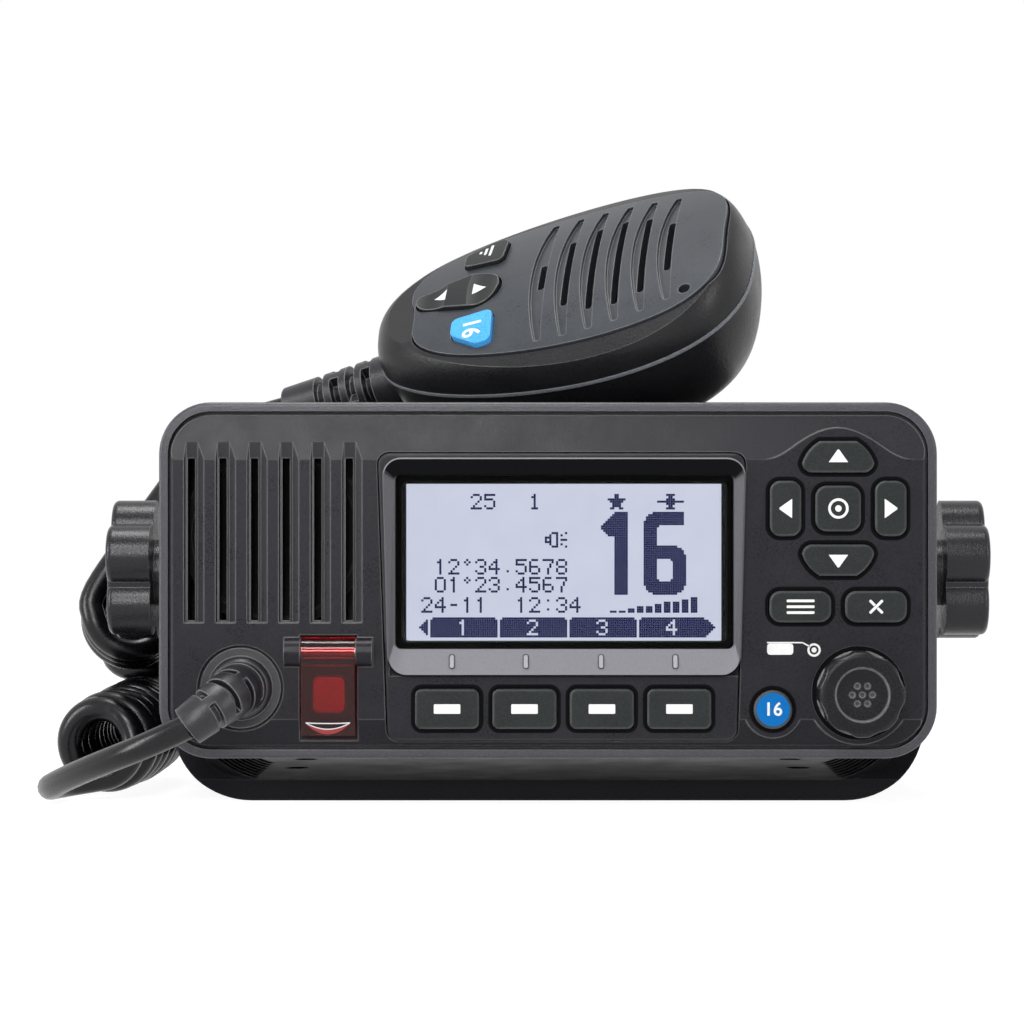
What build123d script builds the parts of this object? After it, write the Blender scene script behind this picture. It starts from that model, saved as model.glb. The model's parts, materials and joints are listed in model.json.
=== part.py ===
"""Fixed-mount VHF marine radio: U bracket, tilting radio, fist handset and its curly cord.

Millimetres. X right, Y back, Z up. The origin is the centre of the bracket's four-hole pattern on
the face that rests on the dash, so the radio's front panel looks along -Y.
"""
import os
from math import cos, pi, radians, sin, tan

from build123d import *

# ---------------------------------------------------------------- driving dimensions
# Bracket
hole_spacing_x = 126.0
hole_spacing_y = 30.0
mount_hole_radius = 3.0
base_front_margin = 38.0      # front edge of the base to the front row of holes
base_rear_margin = 8.0
base_thickness = 5.0
arm_thickness = 4.0
bracket_corner_radius = 20.0
arm_head_radius = 13.0
bracket_rib_count = 9
bracket_rib_thickness = 1.6
bracket_rib_pitch = 6.5
bracket_rib_depth = 5.0

# Tilt axis and clamp knobs
axis_height = 54.5
panel_to_axis = 41.0          # front panel back to the tilt axis
stud_radius = 2.5
running_clearance = 0.05
arm_hole_clearance = 0.4
friction_pad_thickness = 2.0
friction_pad_radius = 12.0
washer_thickness = 1.2
washer_radius = 9.0
knob_lobe_count = 5
knob_lobe_radius = 7.4
knob_lobe_offset = 10.1
knob_core_radius = 13.4
knob_thickness = 10.4
knob_boss_length = 2.9
knob_boss_radius = 8.0
knob_lobe_phase_deg = 24.0
knob_edge_radius = 1.4
stud_reach = 9.0              # stud length inside the chassis boss
stud_head_length = 6.0        # stud length moulded into the knob

# Front panel
panel_width = 180.0
panel_height = 82.4
panel_corner_radius = 12.0
panel_lift = 12.0             # panel's lower edge above the dash
panel_front_to_base = 30.0    # panel front ahead of the base's front edge
housing_depth = 26.0
rim_width = 2.1
rim_setback = 2.4
housing_back_wall = 3.0
fascia_gap = 0.9
fascia_thickness = 6.0
band_height = 10.3            # sloped band above and below the flat face
band_bottom_height = 6.2
band_drop = 3.0
key_flange_width = 0.8
key_flange_thickness = 1.0
key_flange_depth = 4.0        # depth of the flange seat behind the face
key_gap = 0.3
key_seat_gap = 0.05
key_travel = 0.8
key_edge_radius = 0.5
part_gap = 0.3

# Louvres over the loudspeaker
louvre_count = 6
louvre_first_from_edge = 8.4  # centre of the first louvre from the panel's left edge
louvre_pitch = 7.29
louvre_width = 4.6
louvre_slot_width = 1.7
louvre_bottom_v = -9.7
louvre_top_rise = 0.3         # end of the slots above the break of the upper band
louvre_recess = 1.2
louvre_chamfer = 1.5

# Display surround
display_from_top = 11.9       # surround's upper edge below the panel's
display_from_bottom = 4.3
display_top_left_u = -39.2
display_top_right_u = 45.4
display_bottom_left_u = -36.9
display_bottom_right_u = 43.5
surround_proud = 0.7
window_left_u = -35.25
window_right_u = 42.8
window_from_top = 16.8
window_from_bottom = 25.4
window_thickness = 1.5
window_recess = 0.15
lcd_margin = 1.6
lcd_thickness = 4.0
bezel_height = 5.8
bezel_drop = 1.6
soft_key_count = 4
soft_key_first_u = -23.2
soft_key_pitch = 17.8
soft_key_width = 14.8
soft_key_height = 9.3
soft_key_from_bottom = 11.7
soft_key_proud = 1.9

# Keys on the right of the panel
key_proud = 1.3
enter_from_edge = 23.2        # key centre from the panel's right edge
enter_from_top = 24.6
enter_size = 10.6
side_key_width = 7.3
side_key_height = 12.8
side_key_offset = 12.1
vertical_key_width = 16.7
vertical_key_height = 7.3
vertical_key_offset = 11.9
oblong_key_width = 14.3
oblong_key_height = 7.3
oblong_key_v = -6.0
oblong_key_offset = 8.7
blue_key_from_edge = 38.2
blue_key_from_bottom = 11.5
blue_key_radius = 4.5

# Volume knob
volume_from_edge = 18.4
volume_from_bottom = 15.3
volume_radius = 9.85
volume_length = 10.0
volume_gap = 0.85
volume_scallop_count = 8
volume_scallop_depth = 0.5
volume_cap_radius = 6.1
volume_shaft_radius = 3.0
volume_push = 0.6
encoder_size = 13.0

# Distress key and its hinged cover
cover_from_edge = 39.4        # cover's middle from the panel's left edge
cover_width = 12.35
cover_hinge_from_bottom = 24.7
cover_hinge_depth = 0.3
cover_barrel_radius = 3.35
cover_knuckle_width = 3.9
cover_from_bottom = 5.5
cover_thickness = 1.3
cover_pin_radius = 1.1
distress_button_width = 7.4
distress_button_height = 8.4
distress_button_from_bottom = 14.9
pocket_depth = 4.2

# Cord boots
boot_from_edge = 19.1
boot_from_bottom = 16.4
boot_flange_radius = 9.3
boot_well_clearance = 0.6
boot_ring_radius = 7.3
boot_tip_radius = 4.7
cord_diameter = 6.0

# Chassis
chassis_width = 170.0
chassis_above_panel_bottom = 3.0
chassis_below_panel_top = 11.4
chassis_depth = 119.9         # panel front to the tips of the rear fins
chassis_wall = 3.0
chassis_corner_radius = 12.0
fin_height = 10.0
fin_thickness = 2.2
fin_pitch = 6.0
socket_band_top = 48.0        # height up to which the rear wall is clear of fins
antenna_x = 50.0
antenna_z = 32.0
antenna_thread_radius = 7.9
antenna_thread_length = 12.0
antenna_flange = 25.4
power_x = -50.0
power_z = 31.0
accessory_x = 0.0
accessory_z = 31.0
board_thickness = 1.6

# Handset
handset_length = 98.0
handset_width = 68.0
handset_front_height = 10.5
handset_back_height = 26.0
handset_wall = 2.2
handset_pitch_deg = 12.4      # head raised
handset_roll_deg = 50.0       # face turned up from the front
handset_yaw_deg = 17.8        # head turned to the front
handset_x = 4.2
handset_y = -30.0
handset_above_panel = 25.0    # middle of the handset's seam above the panel's top edge
handset_seal_thickness = 0.9
plate_length = 81.7
plate_width = 55.0
plate_offset = 4.6
plate_thickness = 3.2
plate_gap = 0.35
slot_count = 6
slot_first = -2.6
slot_pitch = 6.6
slot_width = 4.0
slot_recess = 1.0
hanger_place = 18.0
hanger_post_radius = 4.0
hanger_head_radius = 6.4
hanger_reach = 8.0
ptt_gap = 0.35

# ---------------------------------------------------------------- derived places
front_y = -(hole_spacing_y / 2 + base_front_margin + panel_front_to_base)
base_front_y = front_y + panel_front_to_base
base_rear_y = hole_spacing_y / 2 + base_rear_margin
axis_y = front_y + panel_to_axis
mid_z = panel_lift + panel_height / 2
panel_top = panel_height / 2
panel_side = panel_width / 2
chassis_bottom = panel_lift + chassis_above_panel_bottom
chassis_top = panel_lift + panel_height - chassis_below_panel_top
handset_z = panel_lift + panel_height + handset_above_panel
housing_back_y = front_y + housing_depth
chassis_back_y = front_y + chassis_depth
rear_wall_y = chassis_back_y - fin_height
half_chassis = chassis_width / 2
arm_inner_x = half_chassis + friction_pad_thickness
arm_outer_x = arm_inner_x + arm_thickness
fascia_width = panel_width - 2 * (rim_width + fascia_gap)
fascia_height = panel_height - 2 * (rim_width + fascia_gap)
fascia_corner_radius = panel_corner_radius - rim_width - fascia_gap
upper_break_v = fascia_height / 2 - band_height
lower_break_v = -fascia_height / 2 + band_bottom_height
# Places on the panel, u to the right and v up from its middle.
louvre_first_u = louvre_first_from_edge - panel_side
louvre_top_v = upper_break_v + louvre_top_rise
display_top_v = panel_top - display_from_top
display_bottom_v = display_from_bottom - panel_top
window_top_v = panel_top - window_from_top
window_bottom_v = window_from_bottom - panel_top
soft_key_v = soft_key_from_bottom - panel_top
enter_u = panel_side - enter_from_edge
enter_v = panel_top - enter_from_top
blue_key_u = panel_side - blue_key_from_edge
blue_key_v = blue_key_from_bottom - panel_top
volume_u = panel_side - volume_from_edge
volume_v = volume_from_bottom - panel_top
cover_u = cover_from_edge - panel_side
cover_hinge_v = cover_hinge_from_bottom - panel_top
cover_bottom_v = cover_from_bottom - panel_top
distress_button_v = distress_button_from_bottom - panel_top
boot_u = boot_from_edge - panel_side
boot_v = boot_from_bottom - panel_top

nodes = {}


def block(x_low, x_high, y_low, y_high, z_low, z_high):
    """Box between two corners."""
    middle = Pos((x_low + x_high) / 2, (y_low + y_high) / 2, (z_low + z_high) / 2)
    return middle * Box(x_high - x_low, y_high - y_low, z_high - z_low)


def panel_plane(depth):
    """Plane parallel to the front panel, with u right, v up and the panel's middle as origin."""
    return Plane(origin=(0, front_y + depth, mid_z), x_dir=(1, 0, 0), z_dir=(0, -1, 0))


def panel_solid(sketch, near, far):
    """Prism on a panel outline between two depths behind the face."""
    return extrude(panel_plane(far) * sketch, amount=far - near)


def along_x(points, x_low, x_high):
    """Prism along X on an outline in depth and height (Y, Z)."""
    face = make_face(Polyline(*[(x_low, y, z) for y, z in points], close=True))
    return extrude(face, amount=x_high - x_low, dir=(1, 0, 0))


def disc(radius, length, start, direction):
    """Cylinder from a start point along a direction."""
    return Plane(origin=start, z_dir=direction).location * Cylinder(
        radius, length, align=(Align.CENTER, Align.CENTER, Align.MIN)
    )


def front_edges(shape):
    """Edges of the face that lies furthest to the front."""
    return shape.faces().sort_by(Axis.Y)[0].edges()


# ---------------------------------------------------------------- bracket
def make_bracket():
    outer_radius = bracket_corner_radius
    inner_radius = bracket_corner_radius - arm_thickness
    top = axis_height + arm_head_radius
    depth = base_rear_y - base_front_y
    outside = Polyline(
        (-arm_outer_x, top), (-arm_outer_x, 0), (arm_outer_x, 0), (arm_outer_x, top), close=True
    )
    inside = Polyline(
        (-arm_inner_x, top + 1), (-arm_inner_x, base_thickness),
        (arm_inner_x, base_thickness), (arm_inner_x, top + 1), close=True,
    )
    outer_face = make_face(outside)
    outer_face = fillet(outer_face.vertices().group_by(Axis.Y)[0], outer_radius)
    inner_face = make_face(inside)
    inner_face = fillet(inner_face.vertices().group_by(Axis.Y)[0], inner_radius)
    section = Plane(origin=(0, base_rear_y, 0), x_dir=(1, 0, 0), z_dir=(0, -1, 0))
    strap = extrude(section * (outer_face - inner_face), amount=depth + arm_head_radius)

    # Side outline of both arms: a wide foot that narrows to the round head at the tilt axis.
    head = arm_head_radius
    side = [
        (base_front_y, -1),
        (base_front_y, base_thickness),
        (base_front_y + 3.5, base_thickness + 7),
        (base_front_y + 6, base_thickness + 21),
        (axis_y - 0.94 * head, axis_height - 0.34 * head),
        (axis_y + 0.88 * head, axis_height + 0.47 * head),
        (base_rear_y, base_thickness + 12),
        (base_rear_y, -1),
    ]
    reach = arm_outer_x + 1
    profile = along_x(side, -reach, reach) + disc(head, 2 * reach, (-reach, axis_y, axis_height), (1, 0, 0))
    strap = strap & profile

    for side_sign in (-1, 1):
        hole = disc(stud_radius + arm_hole_clearance, 2 * arm_thickness,
                    (side_sign * (arm_inner_x - 2), axis_y, axis_height), (side_sign, 0, 0))
        strap -= hole
        # Curved ribs across each inside corner.
        for index in range(bracket_rib_count):
            rib_y = base_front_y + 4 + index * bracket_rib_pitch
            corner_x = side_sign * (arm_inner_x + 0.5)
            corner_z = base_thickness - 0.5
            run = inner_radius + bracket_rib_depth
            rib = make_face(
                Polyline((corner_x, corner_z), (corner_x - side_sign * run, corner_z))
                + ThreePointArc(
                    (corner_x - side_sign * run, corner_z),
                    (corner_x - side_sign * run * 0.31, corner_z + run * 0.31),
                    (corner_x, corner_z + run),
                )
                + Polyline((corner_x, corner_z + run), (corner_x, corner_z))
            )
            rib_plane = Plane(origin=(0, rib_y, 0), x_dir=(1, 0, 0), z_dir=(0, -1, 0))
            rib_body = extrude(rib_plane * rib, amount=bracket_rib_thickness)
            strap += rib_body & profile & extrude(
                section * outer_face, amount=depth + arm_head_radius
            )
    for sign_x in (-1, 1):
        for sign_y in (-1, 1):
            place = (sign_x * hole_spacing_x / 2, sign_y * hole_spacing_y / 2, -1)
            strap -= disc(mount_hole_radius, base_thickness + 2, place, (0, 0, 1))
    return strap


nodes["bracket"] = make_bracket()


# ---------------------------------------------------------------- clamp knobs
def make_clamp(side_sign, name):
    """Lobed knob with its stud, the washer under it and the friction pad inside the arm."""
    seat_x = arm_outer_x + washer_thickness
    outward = (side_sign, 0, 0)
    view = Plane(origin=(side_sign * (seat_x + knob_boss_length), axis_y, axis_height),
                 x_dir=(0, -1, 0), z_dir=outward)
    outline = Circle(knob_core_radius)
    for index in range(knob_lobe_count):
        angle = radians(knob_lobe_phase_deg + 360 / knob_lobe_count * index)
        up = sin(angle) * side_sign
        outline += Pos(knob_lobe_offset * cos(angle), -up * knob_lobe_offset) * Circle(knob_lobe_radius)
    knob = extrude(outline, amount=knob_thickness)
    knob = fillet(knob.faces().sort_by(Axis.Z)[-1].edges(), knob_edge_radius)
    knob = view.location * knob
    start = (side_sign * seat_x, axis_y, axis_height)
    knob += disc(knob_boss_radius, knob_boss_length, start, outward)
    stud_start = (side_sign * (half_chassis - stud_reach), axis_y, axis_height)
    stud_length = seat_x + stud_head_length - (half_chassis - stud_reach)
    stud = disc(stud_radius - running_clearance, stud_length, stud_start, outward)
    knob -= stud
    washer = disc(washer_radius, washer_thickness, (side_sign * arm_outer_x, axis_y, axis_height), outward)
    washer -= disc(stud_radius, washer_thickness, (side_sign * arm_outer_x, axis_y, axis_height), outward)
    pad_start = (side_sign * half_chassis, axis_y, axis_height)
    pad = disc(friction_pad_radius, friction_pad_thickness, pad_start, outward)
    pad -= disc(stud_radius + arm_hole_clearance, friction_pad_thickness, pad_start, outward)
    nodes[f"clamp_knob_{name}"] = knob
    nodes[f"clamp_stud_{name}"] = stud
    nodes[f"clamp_washer_{name}"] = washer
    return pad


nodes["friction_pads"] = Compound([make_clamp(-1, "left"), make_clamp(1, "right")])


# ---------------------------------------------------------------- front housing
def make_housing():
    near = rim_setback
    outer = RectangleRounded(panel_width, panel_height, panel_corner_radius)
    body = panel_solid(outer, near, housing_depth)
    body = fillet(body.faces().sort_by(Axis.Y)[-1].edges(), 2.0)
    body = fillet(front_edges(body), 0.9)
    wall = rim_width
    cavity = RectangleRounded(
        panel_width - 2 * wall, panel_height - 2 * wall, panel_corner_radius - wall
    )
    body -= panel_solid(cavity, near - 1, housing_depth - housing_back_wall)
    # Window through the back wall for the cable loom into the chassis.
    body -= panel_solid(RectangleRounded(90, 24, 4), 0, housing_depth + 1)
    # Ledge that the fascia's skirt stands on.
    ledge = RectangleRounded(
        panel_width - 2 * wall, panel_height - 2 * wall, panel_corner_radius - wall
    ) - RectangleRounded(fascia_width - 3, fascia_height - 3, fascia_corner_radius - 1.5)
    body += panel_solid(ledge, fascia_thickness, fascia_thickness + 2)
    return body


nodes["front_housing"] = make_housing()


# ---------------------------------------------------------------- keys
def key_outlines():
    """Outline of each key on the flat face, by name."""
    outlines = {}
    top = RectangleRounded(vertical_key_width, vertical_key_height, 2.4)
    arch = Pos(0, -4) * Circle(vertical_key_width / 2 + 0.4)
    up_key = top & arch
    outlines["up_key"] = Pos(enter_u, enter_v + vertical_key_offset) * up_key
    outlines["down_key"] = Pos(enter_u, enter_v - vertical_key_offset) * (Rot(0, 0, 180) * up_key)
    side = RectangleRounded(side_key_width, side_key_height, 2.4)
    outlines["left_key"] = Pos(enter_u - side_key_offset, enter_v) * side
    outlines["right_key"] = Pos(enter_u + side_key_offset, enter_v) * side
    outlines["enter_key"] = Pos(enter_u, enter_v) * RectangleRounded(enter_size, enter_size, 2.6)
    oblong = RectangleRounded(oblong_key_width, oblong_key_height, 2.6)
    outlines["lower_left_key"] = Pos(enter_u - oblong_key_offset, oblong_key_v) * oblong
    outlines["lower_right_key"] = Pos(enter_u + oblong_key_offset, oblong_key_v) * oblong
    outlines["blue_key"] = Pos(blue_key_u, blue_key_v) * Circle(blue_key_radius)
    return outlines


def soft_key_outline(index):
    place = Pos(soft_key_first_u + soft_key_pitch * index, soft_key_v)
    return place * RectangleRounded(soft_key_width, soft_key_height, 1.6)


def make_key(outline, proud):
    """Key cap with the flange that keeps it behind the face."""
    cap = panel_solid(outline, -proud, key_flange_depth + key_flange_thickness)
    cap = fillet(front_edges(cap), key_edge_radius)
    flange = panel_solid(
        offset(outline, amount=key_flange_width),
        key_flange_depth + key_seat_gap,
        key_flange_depth + key_flange_thickness,
    )
    return cap + flange


def key_cuts(outline):
    """Hole for the cap and the wider room behind it for the flange."""
    hole = panel_solid(offset(outline, amount=key_gap), -5, fascia_thickness + 1)
    room = panel_solid(
        offset(outline, amount=key_flange_width + key_gap), key_flange_depth, fascia_thickness + 1
    )
    return hole + room


for key_name, key_outline in key_outlines().items():
    nodes[key_name] = make_key(key_outline, key_proud)
for key_index in range(soft_key_count):
    nodes[f"soft_key_{key_index + 1}"] = make_key(soft_key_outline(key_index), soft_key_proud)


# ---------------------------------------------------------------- display surround
def surround_outline(grow):
    face = make_face(
        Polyline(
            (display_top_left_u - grow, display_top_v + grow),
            (display_bottom_left_u - grow, display_bottom_v - grow),
            (display_bottom_right_u + grow, display_bottom_v - grow),
            (display_top_right_u + grow, display_top_v + grow),
            close=True,
        )
    )
    return fillet(face.vertices(), 2.5 + grow)


def window_outline(shrink):
    width = window_right_u - window_left_u - 2 * shrink
    height = window_top_v - window_bottom_v - 2 * shrink
    middle = Pos((window_left_u + window_right_u) / 2, (window_top_v + window_bottom_v) / 2)
    return middle * RectangleRounded(width, height, 1.5)


bezel_top_v = window_bottom_v - part_gap
bezel_bottom_v = bezel_top_v - bezel_height
bezel_left_u = window_left_u - 1.2
bezel_right_u = window_right_u + 1.2
bezel_seat_depth = 1.4


def make_surround():
    body = panel_solid(surround_outline(0), -surround_proud, fascia_thickness)
    body = fillet(front_edges(body), 0.6)
    body -= panel_solid(window_outline(0), -5, window_recess + window_thickness)
    body -= panel_solid(window_outline(lcd_margin), -5, fascia_thickness + 1)
    body -= block(bezel_left_u, bezel_right_u, front_y - 5, front_y + bezel_seat_depth,
                  mid_z + bezel_bottom_v, mid_z + bezel_top_v)
    for index in range(soft_key_count):
        body -= key_cuts(soft_key_outline(index))
    return body


nodes["display_surround"] = make_surround()
nodes["display_window"] = panel_solid(
    window_outline(running_clearance), window_recess - surround_proud, window_recess + window_thickness
)
lcd_front = window_recess + window_thickness + 0.1
nodes["display_module"] = panel_solid(
    window_outline(lcd_margin + part_gap), lcd_front, lcd_front + lcd_thickness
)

bezel_front = -surround_proud - 0.1
nodes["display_bezel"] = along_x(
    [
        (front_y + bezel_seat_depth, mid_z + bezel_top_v - running_clearance),
        (front_y + bezel_front, mid_z + bezel_top_v - running_clearance),
        (front_y + bezel_front - bezel_drop, mid_z + bezel_bottom_v + 1.0),
        (front_y + bezel_front - bezel_drop + 0.5, mid_z + bezel_bottom_v + running_clearance),
        (front_y + bezel_seat_depth, mid_z + bezel_bottom_v + running_clearance),
    ],
    bezel_left_u + running_clearance,
    bezel_right_u - running_clearance,
)


# ---------------------------------------------------------------- fascia
knuckle_outer_u = cover_width / 2 + cover_knuckle_width
hinge_y = front_y + cover_hinge_depth
hinge_z = mid_z + cover_hinge_v


def louvre_cut(index):
    """Recess with a wide chamfer on its right, and the open slot on its left."""
    centre = louvre_first_u + louvre_pitch * index
    left = centre - louvre_width / 2
    right = centre + louvre_width / 2
    top = fascia_height / 2 + 1
    recess = make_face(
        Polyline(
            (left, front_y - 5), (left, front_y), (left + 0.3, front_y + louvre_recess),
            (right - louvre_chamfer, front_y + louvre_recess), (right, front_y),
            (right, front_y - 5), close=True,
        )
    )
    lower = Plane(origin=(0, 0, mid_z + louvre_bottom_v))
    shape = extrude(lower * recess, amount=top - louvre_bottom_v)
    slot_left = left + 0.75
    slot = block(slot_left, slot_left + louvre_slot_width, front_y - 5, front_y + fascia_thickness + 1,
                 mid_z + louvre_bottom_v + 0.5, mid_z + louvre_top_v)
    return shape + slot


def make_fascia():
    outline = RectangleRounded(fascia_width, fascia_height, fascia_corner_radius)
    body = panel_solid(outline, 0, fascia_thickness)
    body = fillet(front_edges(body), 0.8)
    top_v = fascia_height / 2
    reach = fascia_width / 2 + 1
    body -= along_x(
        [
            (front_y - 2, mid_z + upper_break_v),
            (front_y, mid_z + upper_break_v),
            (front_y + band_drop, mid_z + top_v),
            (front_y + band_drop, mid_z + top_v + 2),
            (front_y - 2, mid_z + top_v + 2),
        ],
        -reach, reach,
    )
    body -= along_x(
        [
            (front_y - 2, mid_z + lower_break_v),
            (front_y, mid_z + lower_break_v),
            (front_y + band_drop, mid_z - top_v),
            (front_y + band_drop, mid_z - top_v - 2),
            (front_y - 2, mid_z - top_v - 2),
        ],
        -reach, reach,
    )
    # The flat face swells over the upper key, the volume knob and the round key.
    crown = upper_break_v + 7.4
    swell = Spline(
        (enter_u - 18, upper_break_v), (enter_u - 9.5, upper_break_v + 3.6), (enter_u, crown),
        (enter_u + 9.5, upper_break_v + 3.6), (enter_u + 18, upper_break_v),
        tangents=[(1, 0), (1, 0)],
    )
    island = make_face(
        swell + Polyline((enter_u + 18, upper_break_v), (enter_u + 18, 0), (enter_u - 18, 0),
                         (enter_u - 18, upper_break_v))
    )
    island += Pos(volume_u, volume_v) * Circle(volume_radius + volume_gap + 1.3)
    island += Pos(blue_key_u, blue_key_v) * Circle(blue_key_radius + 2.2)
    island = island & RectangleRounded(fascia_width - 1.6, fascia_height - 0.2, fascia_corner_radius)
    body += panel_solid(island, 0, fascia_thickness)

    # Louvres, the opening for the display surround and the key holes.
    for index in range(louvre_count):
        body -= louvre_cut(index)
    body -= panel_solid(surround_outline(part_gap), -5, fascia_thickness + 1)
    for key_outline in key_outlines().values():
        body -= key_cuts(key_outline)

    # Shallow dish round the volume knob, and the hole for its shaft.
    dish = Pos(volume_u, volume_v) * Circle(volume_radius + volume_gap)
    body -= panel_solid(dish, -5, 1.2)
    body -= panel_solid(Pos(volume_u, volume_v) * Circle(volume_shaft_radius + 0.3), -5, 9)
    body -= panel_solid(
        Pos(volume_u, volume_v) * Rectangle(encoder_size + 0.4, encoder_size + 0.4), 3.0, 9
    )

    # Well for the cord boot.
    well = Pos(boot_u, boot_v) * Circle(boot_flange_radius + boot_well_clearance)
    body -= panel_solid(well, -5, 2.0)
    body -= panel_solid(Pos(boot_u, boot_v) * Circle(boot_ring_radius - 0.8), -5, 9)

    # Pocket under the hinged cover, with the hole for the distress button.
    pocket_left = cover_u - cover_width / 2 - 0.5
    pocket_right = cover_u + cover_width / 2 + 0.5
    body -= block(pocket_left, pocket_right, front_y - 5, front_y + pocket_depth,
                  mid_z + cover_bottom_v - 1.3, mid_z + cover_hinge_v + cover_barrel_radius + 0.6)
    button = Pos(cover_u, distress_button_v) * RectangleRounded(
        distress_button_width, distress_button_height, 1.5
    )
    body -= panel_solid(offset(button, amount=key_gap), -5, fascia_thickness + 1)

    # Hinge knuckles either side of the cover's barrel.
    for sign in (-1, 1):
        start = (cover_u + sign * (cover_width / 2 + 0.15), hinge_y, hinge_z)
        body += disc(cover_barrel_radius, cover_knuckle_width, start, (sign, 0, 0))
    bore_start = (cover_u - knuckle_outer_u + 1.0, hinge_y, hinge_z)
    body -= disc(cover_pin_radius + running_clearance, 2 * knuckle_outer_u - 2.0, bore_start, (1, 0, 0))
    return body


nodes["fascia"] = make_fascia()


# ---------------------------------------------------------------- distress key
def make_cover():
    """Barrel and a flap whose lower lip turns in towards the face."""
    barrel_start = (cover_u - cover_width / 2, hinge_y, hinge_z)
    barrel = disc(cover_barrel_radius, cover_width, barrel_start, (1, 0, 0))
    face_y = hinge_y - cover_barrel_radius
    bottom_z = mid_z + cover_bottom_v
    outer = Spline(
        (cover_u, face_y, hinge_z),
        (cover_u, face_y + 0.2, hinge_z - 7),
        (cover_u, face_y + 0.8, bottom_z + 4),
        (cover_u, face_y + 2.6, bottom_z),
        tangents=[(0, 0, -1), (0, 1.2, -1)],
    )
    inner = Spline(
        (cover_u, face_y + cover_thickness + 2.2, bottom_z + 0.3),
        (cover_u, face_y + cover_thickness + 0.9, bottom_z + 4),
        (cover_u, face_y + cover_thickness + 0.2, hinge_z - 7),
        (cover_u, face_y + cover_thickness, hinge_z),
    )
    section = make_face(
        outer
        + Line(outer @ 1, inner @ 0)
        + inner
        + Line(inner @ 1, outer @ 0)
    )
    flap = extrude(section, amount=cover_width / 2, dir=(1, 0, 0), both=True)
    pin = disc(cover_pin_radius, 2 * knuckle_outer_u - 3.0,
               (cover_u - knuckle_outer_u + 1.5, hinge_y, hinge_z), (1, 0, 0))
    return barrel + flap - pin, pin


nodes["distress_cover"], nodes["distress_cover_pin"] = make_cover()
button_outline = Pos(cover_u, distress_button_v) * RectangleRounded(
    distress_button_width, distress_button_height, 1.5
)
button_cap = panel_solid(button_outline, 0.9, fascia_thickness + 0.9)
button_cap = fillet(front_edges(button_cap), 0.6)
nodes["distress_button"] = button_cap + panel_solid(
    offset(button_outline, amount=key_flange_width), fascia_thickness + key_seat_gap, fascia_thickness + 0.9
)

# ---------------------------------------------------------------- volume knob
knob_base_depth = 0.4
knob_front_depth = knob_base_depth - volume_length
volume_place = Pos(volume_u, volume_v)


def make_volume_knob():
    body = panel_solid(volume_place * Circle(volume_radius), knob_front_depth, knob_base_depth)
    body = fillet(front_edges(body), 1.2)
    for index in range(volume_scallop_count):
        angle = 2 * pi * (index + 0.5) / volume_scallop_count
        far = volume_radius + 14 - volume_scallop_depth
        place = Pos(volume_u + far * cos(angle), volume_v + far * sin(angle))
        body -= panel_solid(place * Circle(14), knob_front_depth - 1, knob_base_depth - 1.4)
    body -= panel_solid(volume_place * Circle(volume_cap_radius), -30, knob_front_depth + 0.8)
    for dimple_index in range(7):
        ring = 0 if dimple_index == 6 else 2.3
        angle = pi / 3 * dimple_index
        body -= Pos(
            volume_u + ring * cos(angle),
            front_y + knob_front_depth + 0.4,
            mid_z + volume_v + ring * sin(angle),
        ) * Sphere(0.75)
    body -= panel_solid(volume_place * Circle(volume_shaft_radius), knob_front_depth + 2.6, 5)
    return body


nodes["volume_knob"] = make_volume_knob()
shaft_back_depth = 6.6
nodes["volume_shaft"] = panel_solid(
    volume_place * Circle(volume_shaft_radius), knob_front_depth + 2.6, shaft_back_depth
)
encoder_front_depth = 3.1
encoder_back_depth = 8.0
encoder = panel_solid(
    volume_place * Rectangle(encoder_size, encoder_size), encoder_front_depth, encoder_back_depth
)
plunger_front_depth = shaft_back_depth + 0.02
plunger_back_depth = plunger_front_depth + 0.3
encoder -= panel_solid(
    volume_place * Circle(volume_shaft_radius + running_clearance), 0,
    plunger_back_depth + volume_push + running_clearance,
)
nodes["volume_encoder"] = encoder
nodes["volume_plunger"] = panel_solid(
    volume_place * Circle(volume_shaft_radius - 0.4), plunger_front_depth, plunger_back_depth
)


# ---------------------------------------------------------------- loudspeaker
speaker_u = louvre_first_u + louvre_pitch * (louvre_count - 1) / 2
speaker_v = (louvre_top_v + louvre_bottom_v) / 2 + 1
speaker_radius = 21.5
speaker_gasket = 0.8
speaker_depth = 13.0


def make_speaker():
    front = fascia_thickness + speaker_gasket
    rim = speaker_gasket
    profile = make_face(
        Polyline(
            (0, -4.4), (4, -5.2), (8, -4.5), (19, -0.3), (19.3, rim), (speaker_radius, rim),
            (speaker_radius, -1.6), (17, -4.0), (11, -7.5), (11, -speaker_depth),
            (0, -speaker_depth), close=True,
        )
    )
    turned = revolve(Plane.XZ * profile, Axis.Z)
    place = Plane(origin=(speaker_u, front_y + front, mid_z + speaker_v), z_dir=(0, -1, 0))
    return place.location * turned


nodes["loudspeaker"] = make_speaker()

# ---------------------------------------------------------------- key mat and panel board
mat_front = fascia_thickness + 0.1
mat_back = 8.0
board_left_u = speaker_u + speaker_radius + 1.0
board_half_height = fascia_height / 2 - 3
board_right_u = fascia_width / 2 - 3


def panel_board_outline(inset):
    low = -board_half_height + inset
    main = Pos((board_left_u + board_right_u) / 2, 0) * Rectangle(
        board_right_u - board_left_u - 2 * inset, 2 * (board_half_height - inset)
    )
    wing_left = cover_u - 9
    wing_top = distress_button_v + 8
    wing = Pos((wing_left + board_left_u) / 2 + 1, (low + wing_top) / 2) * Rectangle(
        board_left_u - wing_left + 2, wing_top - low
    )
    return main + wing


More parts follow.
